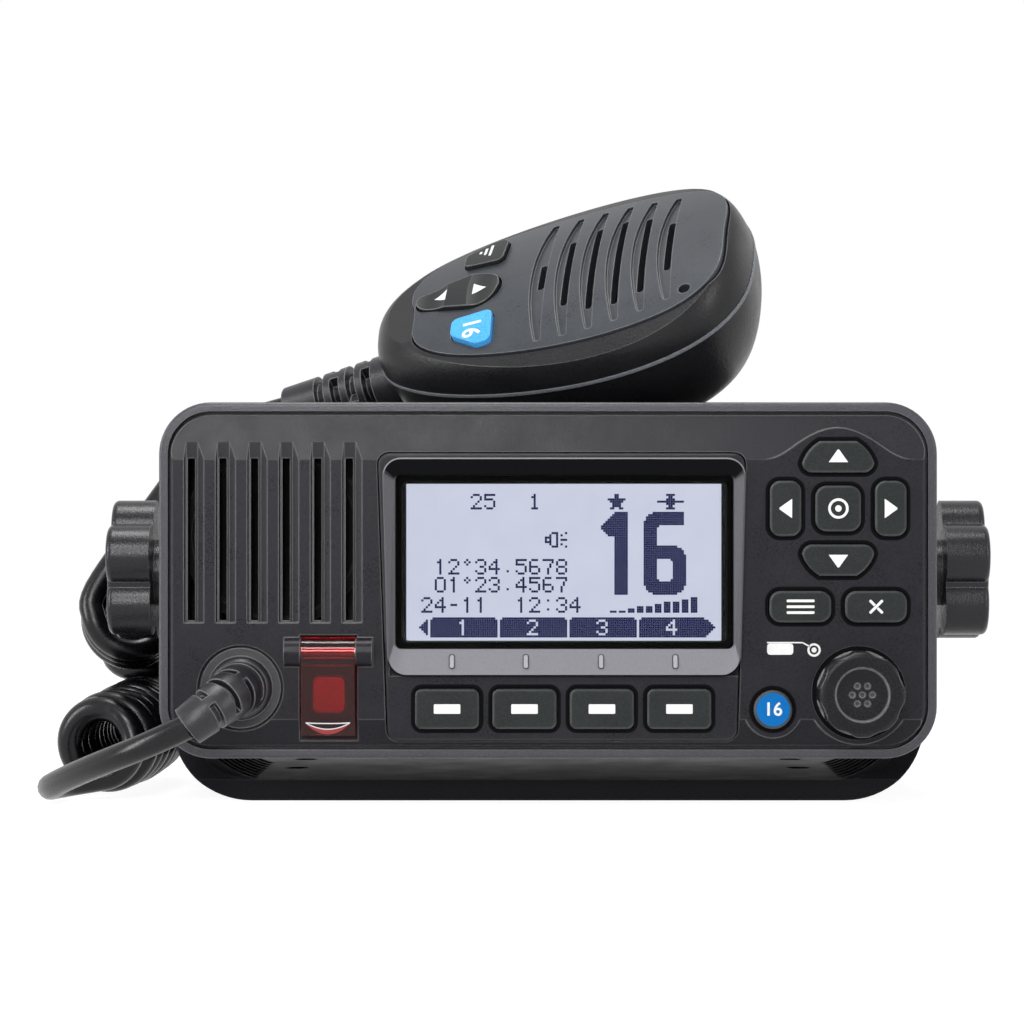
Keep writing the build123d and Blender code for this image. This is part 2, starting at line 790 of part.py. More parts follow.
mat = panel_solid(panel_board_outline(1.5), mat_front, mat_back)
mat -= panel_solid(volume_place * Rectangle(encoder_size + 0.6, encoder_size + 0.6), 0, mat_back + 1)
mat -= panel_solid(window_outline(lcd_margin), 0, mat_back + 1)
mat -= panel_solid(
    offset(button_outline, amount=key_flange_width + key_gap), 0, fascia_thickness + 0.9 + key_travel + 0.1
)
nodes["key_mat"] = mat
nodes["panel_board"] = panel_solid(panel_board_outline(0), mat_back, mat_back + board_thickness)


# ---------------------------------------------------------------- chassis
main_board_half = 68.0
main_board_front_y = housing_back_y + 10
main_board_back_y = rear_wall_y - chassis_wall - 6
main_board_lift = 6.0


def make_chassis():
    height = chassis_top - chassis_bottom
    middle_z = (chassis_top + chassis_bottom) / 2
    section = Plane(origin=(0, rear_wall_y, middle_z), x_dir=(1, 0, 0), z_dir=(0, -1, 0))
    body = extrude(
        section * RectangleRounded(chassis_width, height, chassis_corner_radius),
        amount=rear_wall_y - housing_back_y,
    )
    inside = RectangleRounded(
        chassis_width - 2 * chassis_wall, height - 2 * chassis_wall, chassis_corner_radius - chassis_wall
    )
    room = Plane(origin=(0, rear_wall_y - chassis_wall, middle_z), x_dir=(1, 0, 0), z_dir=(0, -1, 0))
    body -= extrude(room * inside, amount=chassis_depth)
    # Cooling fins stand on the rear wall, above the sockets and at both ends.
    fin_count = int((chassis_width - 2 * chassis_corner_radius) / fin_pitch)
    first_fin = -fin_pitch * (fin_count - 1) / 2
    for index in range(fin_count):
        fin_x = first_fin + fin_pitch * index
        beside_sockets = abs(fin_x) > antenna_x + antenna_flange / 2 + 3
        fin_bottom = chassis_bottom + 3 if beside_sockets else socket_band_top
        fin = along_x(
            [
                (rear_wall_y - 0.5, fin_bottom), (chassis_back_y - 2, fin_bottom),
                (chassis_back_y, fin_bottom + 3), (chassis_back_y, chassis_top - 5),
                (chassis_back_y - 2, chassis_top - 2), (rear_wall_y - 0.5, chassis_top - 2),
            ],
            fin_x - fin_thickness / 2, fin_x + fin_thickness / 2,
        )
        body += fin
    # Bosses for the clamp studs.
    for sign in (-1, 1):
        start = (sign * (half_chassis - stud_reach - 2), axis_y, axis_height)
        body += disc(7.5, stud_reach + 2, start, (sign, 0, 0))
        bore = (sign * (half_chassis - stud_reach - 0.6), axis_y, axis_height)
        body -= disc(stud_radius, stud_reach + 1, bore, (sign, 0, 0))
    # Standoffs for the main board.
    for sign in (-1, 1):
        for standoff_y in (main_board_front_y + 6, main_board_back_y - 6):
            start = (sign * (main_board_half - 6), standoff_y, chassis_bottom + chassis_wall - 0.5)
            body += disc(3.5, main_board_lift + 0.5, start, (0, 0, 1))
    # Rear openings for the sockets.
    for socket_x, socket_z, socket_radius in (
        (antenna_x, antenna_z, 6.5), (power_x, power_z, 8.0), (accessory_x, accessory_z, 8.0)
    ):
        body -= disc(socket_radius, 10, (socket_x, rear_wall_y - 6, socket_z), (0, 1, 0))
    return body


nodes["chassis"] = make_chassis()
board_z = chassis_bottom + chassis_wall + main_board_lift
main_board = block(-main_board_half, main_board_half, main_board_front_y, main_board_back_y,
                   board_z, board_z + board_thickness)
nodes["main_board"] = main_board
nodes["rf_shield"] = block(-40, 45, main_board_front_y + 12, main_board_back_y - 14,
                           board_z + board_thickness, board_z + board_thickness + 12)

# ---------------------------------------------------------------- rear sockets
antenna_start = (antenna_x, rear_wall_y, antenna_z)
antenna = block(antenna_x - antenna_flange / 2, antenna_x + antenna_flange / 2,
                rear_wall_y, rear_wall_y + 2, antenna_z - antenna_flange / 2, antenna_z + antenna_flange / 2)
antenna += disc(antenna_thread_radius, antenna_thread_length + 2, antenna_start, (0, 1, 0))
antenna += disc(6.4, 8, (antenna_x, rear_wall_y - 7, antenna_z), (0, 1, 0))
antenna -= disc(5.6, antenna_thread_length, (antenna_x, rear_wall_y + 4, antenna_z), (0, 1, 0))
antenna -= disc(1.9, 6, (antenna_x, rear_wall_y - 1, antenna_z), (0, 1, 0))
nodes["antenna_socket"] = antenna


def make_round_socket(socket_x, socket_z, pin_count, pin_circle):
    """Panel socket with a hexagon nut collar, a recessed face and its contact pins."""
    start = (socket_x, rear_wall_y, socket_z)
    hexagon = Plane(origin=start, z_dir=(0, 1, 0)) * RegularPolygon(11, 6)
    body = extrude(hexagon, amount=3)
    body += disc(9, 9, start, (0, 1, 0))
    body += disc(7.9, 5, (socket_x, rear_wall_y - 5, socket_z), (0, 1, 0))
    body -= disc(7.2, 10, (socket_x, rear_wall_y + 3, socket_z), (0, 1, 0))
    for index in range(pin_count):
        angle = 2 * pi * index / pin_count
        place = (socket_x + pin_circle * cos(angle), rear_wall_y + 2.5, socket_z + pin_circle * sin(angle))
        body += disc(0.8, 5, place, (0, 1, 0))
    return body


nodes["power_inlet"] = make_round_socket(power_x, power_z, 2, 3.6)
nodes["accessory_socket"] = make_round_socket(accessory_x, accessory_z, 5, 4.6)


# ---------------------------------------------------------------- cord boots
def segmented_boot(length, root_radius, tip_radius, collar, windows):
    """Straight boot along +Z: a solid collar at each end and half-round windows on alternate sides."""
    body = Cone(root_radius, tip_radius, length, align=(Align.CENTER, Align.CENTER, Align.MIN))
    body = fillet(body.edges().sort_by(Axis.Z)[-1], 0.6)
    pitch = (length - 2 * collar) / windows
    core = cord_diameter / 2 + 0.6
    for index in range(windows):
        low = collar + pitch * (index + 0.2)
        ring = Cylinder(root_radius + 2, pitch * 0.55, align=(Align.CENTER, Align.CENTER, Align.MIN))
        ring -= Cylinder(core, pitch * 0.55, align=(Align.CENTER, Align.CENTER, Align.MIN))
        keep = Rot(0, 0, 90 * (index % 2)) * (
            Box(2.4, 4 * root_radius, 4 * pitch, align=(Align.CENTER, Align.CENTER, Align.CENTER))
        )
        body -= Pos(0, 0, low) * (ring - keep)
    return body


# ---------------------------------------------------------------- handset
def handset_axes():
    """Long axis towards the head and face normal of the handset, as it lies on the chassis."""
    pitch = radians(handset_pitch_deg)
    roll = radians(handset_roll_deg)
    along = Vector(cos(pitch), 0, sin(pitch))
    rise = Vector(-sin(pitch), 0, cos(pitch))
    across = rise * cos(roll) + Vector(0, 1, 0) * sin(roll)
    normal = along.cross(across)
    return along.rotate(Axis.Z, -handset_yaw_deg), normal.rotate(Axis.Z, -handset_yaw_deg)


long_axis, face_normal = handset_axes()
handset_frame = Plane(origin=(handset_x, handset_y, handset_z), x_dir=long_axis, z_dir=face_normal)
# Inside this section x runs from the cord to the head, y across and z out of the face.
egg_power = 0.79
egg_lean = 0.22
plate_power = 0.5
plate_lean = 0.08
crown_radius = 120.0
crown_top = handset_front_height + 0.8
rim_top = handset_front_height - 0.5
plate_back = rim_top - plate_thickness
speaker_place_x = 15.5
handset_speaker_radius = 18.5


def egg(length, width, power, lean, height, shift=0.0, count=20):
    """Blunt egg outline with its wide end towards +x."""
    steps = [2 * pi * index / count for index in range(count)]
    raw = [abs(sin(step)) ** power * (1 - lean * cos(step)) for step in steps]
    widest = max(raw)
    points = []
    for step, reach in zip(steps, raw):
        side = 1 if sin(step) >= 0 else -1
        points.append((shift - cos(step) * length / 2, side * reach / widest * width / 2, height))
    return make_face(Spline(*points, periodic=True))


def shell_section(inset, height, shift=0.0):
    return egg(
        handset_length - 2 * inset, handset_width - 2 * inset, egg_power, egg_lean, height, shift
    )


def plate_section(inset, height):
    return egg(plate_length - 2 * inset, plate_width - 2 * inset, plate_power, plate_lean, height, plate_offset)


def crown(top):
    """Cylinder along x whose crest gives the face its crown."""
    return Pos(0, 0, top - crown_radius) * (Rot(0, 90, 0) * Cylinder(crown_radius, 2 * handset_length))


def handset_key_outlines():
    """Two corner keys, mirror images of each other."""
    corner = [(-13.4, 10.6), (-13.2, 21.6), (-17.2, 21.8), (-24.0, 17.0), (-24.0, 11.4)]
    upper = make_face(Polyline(*corner, close=True))
    upper = fillet(upper.vertices(), 1.9)
    lower = make_face(Polyline(*[(x, -y) for x, y in corner], close=True))
    lower = fillet(lower.vertices(), 1.9)
    return {"handset_power_key": upper, "handset_blue_key": lower}


def rocker_outline():
    wide = Pos(-19.6, 0) * Circle(6.7)
    narrow = Pos(-31.6, 0) * Circle(3.4)
    return make_hull(wide.edges() + narrow.edges())


rocker_pivot_x = -24.0
rocker_swing = 0.65           # travel of the rocker's ends
rocker_flange_top = plate_back - rocker_swing - 0.1
rocker_bottom = rocker_flange_top - 0.6
key_mat_top = rocker_bottom - rocker_swing - 0.15
mic_place = (36.0, -19.5)


def column(sketch, low, high):
    """Prism along the face normal between two heights."""
    return extrude(Pos(0, 0, low) * sketch, amount=high - low)


def slot_outline(index):
    """Straight on the head side and bowed on the cord side."""
    place = slot_first + slot_pitch * index
    x_face = (place - plate_offset) / (plate_length / 2)
    half = plate_width / 2 * (1 - x_face ** 2) ** (plate_power / 2) - 2.6
    right = slot_width / 2
    shape = make_face(
        Polyline((right - 1.6, -half), (right, -half), (right, half), (right - 1.6, half))
        + ThreePointArc((right - 1.6, half), (-right, 0), (right - 1.6, -half))
    )
    return Pos(place, 0) * fillet(shape.vertices(), 0.6)


def make_face_plate():
    body = loft([plate_section(0, plate_back), plate_section(0.1, crown_top + 0.5)])
    body = body & crown(crown_top)
    # The recesses follow the crown at an even depth.
    recess_layer = crown(crown_top + 5) - crown(crown_top - slot_recess)
    for index in range(slot_count):
        place = slot_first + slot_pitch * index
        chord = handset_speaker_radius ** 2 - (place - speaker_place_x) ** 2
        body -= column(slot_outline(index), plate_back, crown_top + 2) & recess_layer
        half = max(chord, 36.0) ** 0.5 - 0.8
        slit = Pos(place + 0.6, 0) * RectangleRounded(1.7, 2 * half, 0.8)
        body -= column(slit, plate_back - 1, crown_top + 2)
    for outline in handset_key_outlines().values():
        body -= column(offset(outline, amount=key_gap), plate_back - 1, crown_top + 2)
    body -= column(offset(rocker_outline(), amount=key_gap + 0.15), plate_back - 1, crown_top + 2)
    # Microphone hole on the edge of the plate.
    body -= column(Pos(*mic_place) * Circle(1.5), plate_back - 1, crown_top + 2)
    for sign in (-1, 1):
        body += column(Pos(-8.6, sign * 17) * Circle(1.5), key_mat_top, plate_back + 0.2)
    return body


def make_front_shell():
    body = loft([
        shell_section(0, 0), shell_section(0.3, 3.5), shell_section(1.4, 7.0, 0.4),
        shell_section(3.0, 9.2, 0.9), shell_section(4.4, rim_top, 1.2),
    ])
    wall = handset_wall
    body -= loft([shell_section(wall, -1), shell_section(wall + 0.3, 3.0), shell_section(wall + 1.8, plate_back - 1.2, 0.4)])
    body = body & crown(crown_top - 0.6)
    body -= column(plate_section(-plate_gap, 0), plate_back, crown_top + 2)
    body -= column(plate_section(2.4, 0), plate_back - 3, plate_back + 1)
    # Room in the ledge for the flanges of the keys and the rocker.
    room = key_flange_width + plate_gap
    for outline in [*handset_key_outlines().values(), rocker_outline()]:
        body -= column(offset(outline, amount=room), plate_back - 3, plate_back + 1)
    return body


def make_back_shell():
    seam = -handset_seal_thickness
    body = loft([
        shell_section(0, seam), shell_section(0.9, -8), shell_section(3.2, -15),
        shell_section(7.0, -21), shell_section(11.5, -24.8), shell_section(15.5, -handset_back_height),
    ])
    wall = handset_wall
    body -= loft([
        shell_section(wall, seam + 0.5), shell_section(wall + 0.9, -8), shell_section(wall + 3.2, -14.6),
        shell_section(wall + 7.2, -19.8), shell_section(wall + 12.4, wall + 0.4 - handset_back_height),
    ])
    for screw_x, screw_y in case_screw_places:
        body += column(Pos(screw_x, screw_y) * Circle(3.2), 1 - handset_back_height, -4)
        body -= column(Pos(screw_x, screw_y) * Circle(2.7), -handset_back_height - 1, 1.8 - handset_back_height)
        body -= column(Pos(screw_x, screw_y) * Circle(1.25), -handset_back_height, case_screw_tip)
    return body


case_screw_places = [(-22.0, 0.0), (27.0, 12.0), (27.0, -12.0)]
case_screw_tip = -16.0
ptt_low, ptt_high = -14.0, -4.5
ptt_from, ptt_to = 3.0, 39.0
ptt_proud = 2.3
ptt_inside = 1.6
ptt_press = 2.6


def ptt_bar(grow, press=0.0):
    """Length of the outline's side, stood proud of the shell, grown by a gap and by its own travel."""
    ring = shell_section(-ptt_proud - grow, 0) - shell_section(ptt_inside + grow + press, 0)
    middle = (ptt_from + ptt_to) / 2
    span = Pos(middle, handset_width / 2) * Rectangle(ptt_to - ptt_from + 2 * grow, handset_width - 8)
    return column(ring & span, ptt_low - grow, ptt_high + grow)


handset_parts = {}
handset_parts["handset_front_shell"] = make_front_shell()
handset_parts["handset_face_plate"] = make_face_plate()
back_shell = make_back_shell() - ptt_bar(ptt_gap, ptt_press)
handset_parts["handset_seal"] = column(
    shell_section(-0.2, 0) - shell_section(handset_wall, 0), -handset_seal_thickness, 0
)
ptt = ptt_bar(0)
handset_parts["handset_talk_bar"] = fillet(ptt.edges().filter_by(Axis.Z), 0.9)
for key_name, key_outline in handset_key_outlines().items():
    cap = column(key_outline, plate_back - 1.1, crown_top + 2) & crown(crown_top + 1.2)
    cap += column(offset(key_outline, amount=key_flange_width), plate_back - 1.1, plate_back - key_seat_gap)
    handset_parts[key_name] = cap
rocker = column(rocker_outline(), rocker_bottom, crown_top + 2) & crown(crown_top + 1.1)
rocker += column(offset(rocker_outline(), amount=key_flange_width), rocker_bottom, rocker_flange_top)
rocker -= Pos(rocker_pivot_x - 6.8, 0, crown_top + 11.4) * (Rot(90, 0, 0) * Cylinder(11, 20))
rocker -= Pos(rocker_pivot_x + 6.8, 0, crown_top + 11.4) * (Rot(90, 0, 0) * Cylinder(11, 20))
handset_parts["handset_rocker"] = rocker
mat_outline = Pos(-21.5, 0) * RectangleRounded(25, 42, 9)
handset_parts["handset_board"] = column(mat_outline, key_mat_top - board_thickness, key_mat_top)
handset_speaker = revolve(
    make_face(
        Polyline(
            (0, 0, -1.8), (5, 0, -2.4), (handset_speaker_radius - 2, 0, -0.2), (handset_speaker_radius - 2, 0, 0),
            (handset_speaker_radius, 0, 0), (handset_speaker_radius, 0, -1.5), (10, 0, -4.2), (10, 0, -7),
            (0, 0, -7), close=True,
        )
    ),
    Axis.Z,
)
handset_parts["handset_loudspeaker"] = Pos(speaker_place_x, 0, plate_back) * handset_speaker
handset_parts["handset_microphone"] = column(Pos(mic_place[0] - 1.5, mic_place[1] + 1.5) * Circle(2.6), plate_back - 3.5, plate_back)
hanger = column(Circle(hanger_head_radius + 0.6), -1.2, 0) + column(Circle(hanger_post_radius), -hanger_reach, 0)
hanger += column(Circle(hanger_head_radius), -hanger_reach, 2.2 - hanger_reach)
handset_parts["hanger_stud"] = Pos(hanger_place, 0, -handset_back_height) * hanger
screws = [
    column(Pos(x, y) * Circle(2.6), 0.2 - handset_back_height, 1.8 - handset_back_height)
    + column(Pos(x, y) * Circle(1.2), 1.0 - handset_back_height, case_screw_tip - 0.5)
    for x, y in case_screw_places
]
handset_parts["handset_screws"] = Compound(screws)

handset_boot_start_x = -44.0
handset_boot_z = -8.6
handset_boot_length = 35.0
boot_body = segmented_boot(handset_boot_length, 7.7, boot_tip_radius + 0.4, 8.5, 4)
handset_boot_frame = Plane(origin=(handset_boot_start_x, 0, handset_boot_z), x_dir=(0, 1, 0), z_dir=(-1, 0, 0))
handset_parts["handset_boot"] = handset_boot_frame.location * boot_body
boot_envelope = Cone(7.7 + 0.05, boot_tip_radius + 0.45, handset_boot_length,
                     align=(Align.CENTER, Align.CENTER, Align.MIN))
handset_parts["handset_back_shell"] = back_shell - handset_boot_frame.location * boot_envelope
for part_name, part in handset_parts.items():
    nodes[part_name] = handset_frame.location * part

# ---------------------------------------------------------------- boot on the front panel
boot_root = Vector(boot_u, front_y, mid_z + boot_v)
boot_mouth = boot_root + Vector(-10.3, -16.0, -7.8)


def make_panel_boot():
    """Flange in its well, a rolled ring and a segmented neck that turns down to the left."""
    place = Pos(boot_u, boot_v)
    body = panel_solid(place * Circle(boot_flange_radius), 0.7, 2.0)
    ring = panel_solid(place * Circle(boot_ring_radius), -3.0, 2.0)
    ring = fillet(front_edges(ring), 2.4)
    body += ring
    body += panel_solid(place * Circle(boot_ring_radius - 1.1), 1.0, fascia_thickness + 1.2)
    body += panel_solid(place * Circle(boot_ring_radius + 0.4), fascia_thickness + 0.1, fascia_thickness + 1.2)
    start = boot_root + Vector(0, -2.0, 0)
    bend_start = boot_root + Vector(0, -3.0, 0)
    straight = Line(start, bend_start)
    bend = TangentArc(bend_start, boot_mouth, tangent=(0, -1, 0))
    neck_path = Wire([straight, bend])
    root_circle = Plane(origin=start, z_dir=(0, -1, 0)) * Circle(boot_ring_radius - 1.0)
    tip_circle = Plane(origin=boot_mouth, z_dir=bend % 1) * Circle(boot_tip_radius)
    neck = sweep([root_circle, tip_circle], path=neck_path, multisection=True)
    core = cord_diameter / 2 + 0.6
    for index in range(4):
        spot = bend.location_at(0.12 + 0.2 * index)
        window = Cylinder(boot_ring_radius + 2, 1.7) - Cylinder(core, 1.7)
        web = Rot(0, 0, 90 * (index % 2) + 20) * Box(2.2, 40, 4)
        neck -= spot * (window - web)
    return body + neck


nodes["panel_boot"] = make_panel_boot()


# ---------------------------------------------------------------- curly cord
# Points of each uncoiled stretch and of the coil's own axis, chosen by hand.
lead_front_points = [
    (-81.2, -99.0, 20.6), (-89.5, -98.2, 16.6), (-101.0, -90.0, 12.0),
    (-111.5, -76.0, 7.4), (-118.0, -61.0, 4.0), (-114.6, -47.6, 6.0),
]
coil_points = [
    (-108.2, -50.5, 12.8), (-104.9, -30.0, 13.8), (-104.6, 26.0, 14.4),
    (-106.6, 27.0, 41.8), (-107.4, 5.0, 40.2), (-105.4, -17.0, 43.6),
]
lead_handset_points = [
    (-113.6, -16.5, 45.6), (-107.6, -14.0, 57.0), (-99.6, -8.0, 71.0),
    (-91.5, 0.0, 83.5), (-80.5, 3.0, 92.7), (-66.6, -1.5, 95.9),
]
coil_outer_radius = 12.6
hairpin_radius = 13.0


def natural_radii(points):
    """Bend radius at each inner point: 0.45 of the shorter run over the half turn's tangent."""
    radii = []
    for before, here, after in zip(points, points[1:], points[2:]):
        run_in = Vector(*here) - Vector(*before)
        run_out = Vector(*after) - Vector(*here)
        turn = radians(run_in.get_angle(run_out))
        radii.append(0.45 * min(run_in.length, run_out.length) / tan(turn / 2))
    return radii


def make_tube(name, points, radius, radii):
    path = FilletPolyline(*points, radius=radii)
    tube = sweep(Plane(origin=path @ 0, z_dir=path % 0) * Circle(radius), path=path)
    section = pi * radius ** 2 * path.length
    print(name, "length", round(path.length, 1), "radii", [round(value, 1) for value in radii],
          "volume over section times length", round(tube.volume / section, 4))
    return tube


nodes["cord_lead_front"] = make_tube(
    "cord_lead_front", lead_front_points, cord_diameter / 2, natural_radii(lead_front_points)
)
coil_radii = natural_radii(coil_points)
coil_radii[1] = hairpin_radius
coil_radii[2] = hairpin_radius
nodes["cord_coil"] = make_tube("cord_coil", coil_points, coil_outer_radius, coil_radii)
nodes["cord_lead_handset"] = make_tube(
    "cord_lead_handset", lead_handset_points, cord_diameter / 2, natural_radii(lead_handset_points)
)

# ---------------------------------------------------------------- write one file per node
os.makedirs("parts", exist_ok=True)
for node_name, shape in nodes.items():
    export_step(shape, f"parts/{node_name}.step")
print(len(nodes), "nodes")
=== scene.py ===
"""Looks of the fixed-mount VHF marine radio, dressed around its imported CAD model.

Metres. X right, Y back, Z up. Places on the front panel are in millimetres: u to the right and v up
from the panel's middle, and depth behind the fascia's flat face.
"""
import json
import math

import bmesh
import bpy
from mathutils import Matrix, Vector
from mathutils.geometry import convex_hull_2d


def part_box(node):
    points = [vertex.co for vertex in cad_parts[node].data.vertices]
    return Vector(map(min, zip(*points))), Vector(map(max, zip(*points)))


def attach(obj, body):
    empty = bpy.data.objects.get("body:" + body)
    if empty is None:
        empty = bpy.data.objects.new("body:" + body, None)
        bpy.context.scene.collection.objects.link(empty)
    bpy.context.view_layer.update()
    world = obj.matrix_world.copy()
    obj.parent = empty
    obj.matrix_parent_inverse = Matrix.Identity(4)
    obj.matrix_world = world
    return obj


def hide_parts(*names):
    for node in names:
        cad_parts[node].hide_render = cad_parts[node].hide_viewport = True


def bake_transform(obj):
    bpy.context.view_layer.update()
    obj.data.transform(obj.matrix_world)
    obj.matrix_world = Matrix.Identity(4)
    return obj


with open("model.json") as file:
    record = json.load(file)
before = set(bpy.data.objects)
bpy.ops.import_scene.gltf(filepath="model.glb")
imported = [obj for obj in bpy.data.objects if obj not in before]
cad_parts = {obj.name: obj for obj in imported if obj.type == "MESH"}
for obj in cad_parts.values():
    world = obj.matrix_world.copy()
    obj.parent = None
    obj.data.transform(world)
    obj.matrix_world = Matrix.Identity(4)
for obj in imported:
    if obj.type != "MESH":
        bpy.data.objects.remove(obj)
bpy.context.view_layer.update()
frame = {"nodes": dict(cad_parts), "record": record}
nodes = frame["nodes"]
MM = 0.001

RIM_SETBACK = 2.4                     # housing's front edge behind the fascia's face, in mm
housing_low, housing_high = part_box("front_housing")
front_y = housing_low.y - RIM_SETBACK * MM
mid_z = (housing_low.z + housing_high.z) / 2


def panel(u, v, depth=0.0):
    """Point on the front panel."""
    return Vector((u * MM, front_y + depth * MM, mid_z + v * MM))


def panel_matrix(u, v, depth):
    """Frame whose x is u, y is v and z points out of the panel."""
    return Matrix.Translation(panel(u, v, depth)) @ Matrix.Rotation(math.pi / 2, 4, "X")


# ---------------------------------------------------------------- materials
class Paint:
    """One material's node tree, with short calls for the nodes it needs."""

    def __init__(self, name):
        self.material = bpy.data.materials.new(name)
        self.material.use_nodes = True
        self.tree = self.material.node_tree
        self.tree.nodes.clear()
        self.place = self.node("TexCoord").outputs["Object"]

    def node(self, kind, settings=None, **inputs):
        made = self.tree.nodes.new("ShaderNode" + kind)
        for key, value in (settings or {}).items():
            setattr(made, key, value)
        for key, value in inputs.items():
            self.feed(made.inputs[key.replace("_", " ")], value)
        return made

    def feed(self, socket, value):
        if isinstance(value, bpy.types.NodeSocket):
            self.tree.links.new(value, socket)
        else:
            socket.default_value = value

    def noise(self, size_mm, detail=2.0, roughness=0.5):
        """Noise whose grains are about size_mm wide."""
        made = self.node("TexNoise", Vector=self.place, Scale=1 / (size_mm * MM), Detail=detail,
                         Roughness=roughness)
        return made.outputs["Fac"]

    def spread(self, value, low, high, to_low, to_high):
        """Value from low to high, mapped to to_low and to_high and held there outside."""
        made = self.node("MapRange", {"clamp": True}, Value=value)
        for key, number in (("From Min", low), ("From Max", high), ("To Min", to_low), ("To Max", to_high)):
            made.inputs[key].default_value = number
        return made.outputs["Result"]

    def blend(self, share, first, second):
        """Colour between first and second."""
        made = self.node("Mix", {"data_type": "RGBA"})
        self.feed(made.inputs["Factor"], share)
        colours = [socket for socket in made.inputs if socket.type == "RGBA"]
        for socket, value in zip(colours, (first, second)):
            self.feed(socket, value if isinstance(value, bpy.types.NodeSocket) else (*value, 1.0))
        return [socket for socket in made.outputs if socket.type == "RGBA"][0]

    def sum(self, operation, first, second):
        made = self.node("Math", {"operation": operation})
        self.feed(made.inputs[0], first)
        self.feed(made.inputs[1], second)
        return made.outputs[0]

    def rounded_normal(self, radius_mm):
        made = self.node("Bevel", {"samples": 4})
        made.inputs["Radius"].default_value = radius_mm * MM
        return made.outputs["Normal"]

    def edge_share(self, normal):
        """1 on edges, where the rounded normal turns away from the flat one, and 0 elsewhere."""
        flat = self.node("NewGeometry").outputs["Normal"]
        cosine = self.node("VectorMath", {"operation": "DOT_PRODUCT"})
        self.feed(cosine.inputs[0], normal)
        self.feed(cosine.inputs[1], flat)
        return self.spread(cosine.outputs["Value"], 0.88, 0.998, 1.0, 0.0)

    def bump(self, height, depth_mm, normal=None):
        made = self.node("Bump", Height=height, Strength=1.0, Distance=depth_mm * MM)
        if normal is not None:
            self.feed(made.inputs["Normal"], normal)
        return made.outputs["Normal"]

    def finish(self, **inputs):
        """Principled shader to the output. Constants go straight onto its sockets."""
        shader = self.node("BsdfPrincipled")
        for key, value in inputs.items():
            socket = shader.inputs[key.replace("_", " ")]
            self.feed(socket, (*value, 1.0) if isinstance(value, tuple) and len(value) == 3 else value)
        output = self.node("OutputMaterial")
        self.tree.links.new(shader.outputs[0], output.inputs["Surface"])
        return self.material


def moulded(name, colour, roughness, grain=0.35, depth=0.012, mottle=0.12, wear_and_highlight=0.35,
            edge=0.35, level=0.5, coat=0.0, metallic=0.0):
    """Moulded or painted surface: fine grain, uneven colour and gloss, rounded edges paler from wear and a
    painted highlight.
    """
    paint = Paint(name)
    broad = paint.noise(9.0, detail=3.0)
    fine = paint.noise(grain, detail=2.0, roughness=0.6)
    normal = paint.rounded_normal(edge)
    dark = tuple(part * (1 - mottle) for part in colour)
    light = tuple(part * (1 + mottle) for part in colour)
    # Pale edge tone: partly wear, partly a painted highlight where edges would catch the light.
    worn_and_highlit = tuple(part + (0.5 - part) * 0.5 * wear_and_highlight for part in colour)
    mottled = paint.blend(paint.spread(broad, 0.3, 0.7, 0.0, 1.0), dark, light)
    speck = tuple(part * 2.1 for part in colour)
    speckled = paint.blend(paint.spread(fine, 0.35, 0.65, 0.0, 0.5), mottled, speck)
    # Edges blended towards the pale tone: wear and a painted highlight together.
    base = paint.blend(paint.edge_share(normal), speckled, worn_and_highlit)
    gloss = paint.spread(paint.sum("ADD", fine, broad), 0.7, 1.3, roughness - 0.06, roughness + 0.07)
    grained = paint.bump(fine, depth, normal)
    return paint.finish(
        Base_Color=base, Roughness=gloss, Normal=grained, Metallic=metallic, Specular_IOR_Level=level,
        Coat_Weight=coat, Coat_Roughness=0.2, Coat_Normal=grained,
    )


def brushed(name, colour, roughness, pitch=0.25):
    """Turned or rolled metal with fine lines and slight stains."""
    paint = Paint(name)
    stretched = paint.node("Mapping", Vector=paint.place)
    stretched.inputs["Scale"].default_value = (1.0, 0.06, 1.0)
    scale = 1 / (pitch * MM)
    lines = paint.node("TexNoise", Vector=stretched.outputs[0], Scale=scale, Detail=2.0).outputs["Fac"]
    stain = paint.noise(4.0, detail=4.0)
    stained = tuple(part * 0.8 for part in colour)
    base = paint.blend(paint.spread(stain, 0.4, 0.7, 0.0, 1.0), colour, stained)
    gloss = paint.spread(lines, 0.3, 0.7, roughness - 0.07, roughness + 0.09)
    normal = paint.bump(lines, 0.004, paint.rounded_normal(0.2))
    return paint.finish(Base_Color=base, Roughness=gloss, Normal=normal, Metallic=1.0)


def tinted(name, colour, roughness, transmission, ior=1.49):
    """Clear or tinted acrylic, faintly uneven."""
    paint = Paint(name)
    haze = paint.noise(6.0, detail=2.0)
    base = paint.blend(haze, colour, tuple(part * 0.92 for part in colour))
    gloss = paint.spread(haze, 0.3, 0.7, roughness, roughness + 0.03)
    return paint.finish(Base_Color=base, Roughness=gloss, Transmission_Weight=transmission, IOR=ior)


def printed(name, colour, roughness=0.45, level=0.5):
    """Ink with the slight unevenness of pad printing."""
    paint = Paint(name)
    patches = paint.noise(0.6, detail=2.0)
    base = paint.blend(patches, colour, tuple(part * 0.86 for part in colour))
    return paint.finish(Base_Color=base, Roughness=roughness, Normal=paint.bump(patches, 0.004),
                        Specular_IOR_Level=level)


def glowing(name, colour, uneven, strength=1.0):
    """Backlit layer that shows its own colour, a little uneven across it."""
    paint = Paint(name)
    patches = paint.noise(14.0, detail=1.0)
    glow = paint.blend(patches, colour, tuple(part * (1 - uneven) for part in colour))
    return paint.finish(Base_Color=(0.0, 0.0, 0.0), Roughness=0.5, Specular_IOR_Level=0.05,
                        Emission_Color=glow, Emission_Strength=strength)


LCD_PALE = (0.62, 0.655, 0.80)
LCD_NAVY = (0.001, 0.004, 0.072)
WHITE_INK = (0.76, 0.76, 0.75)
KEY_BLUE = (0.002, 0.140, 0.44)
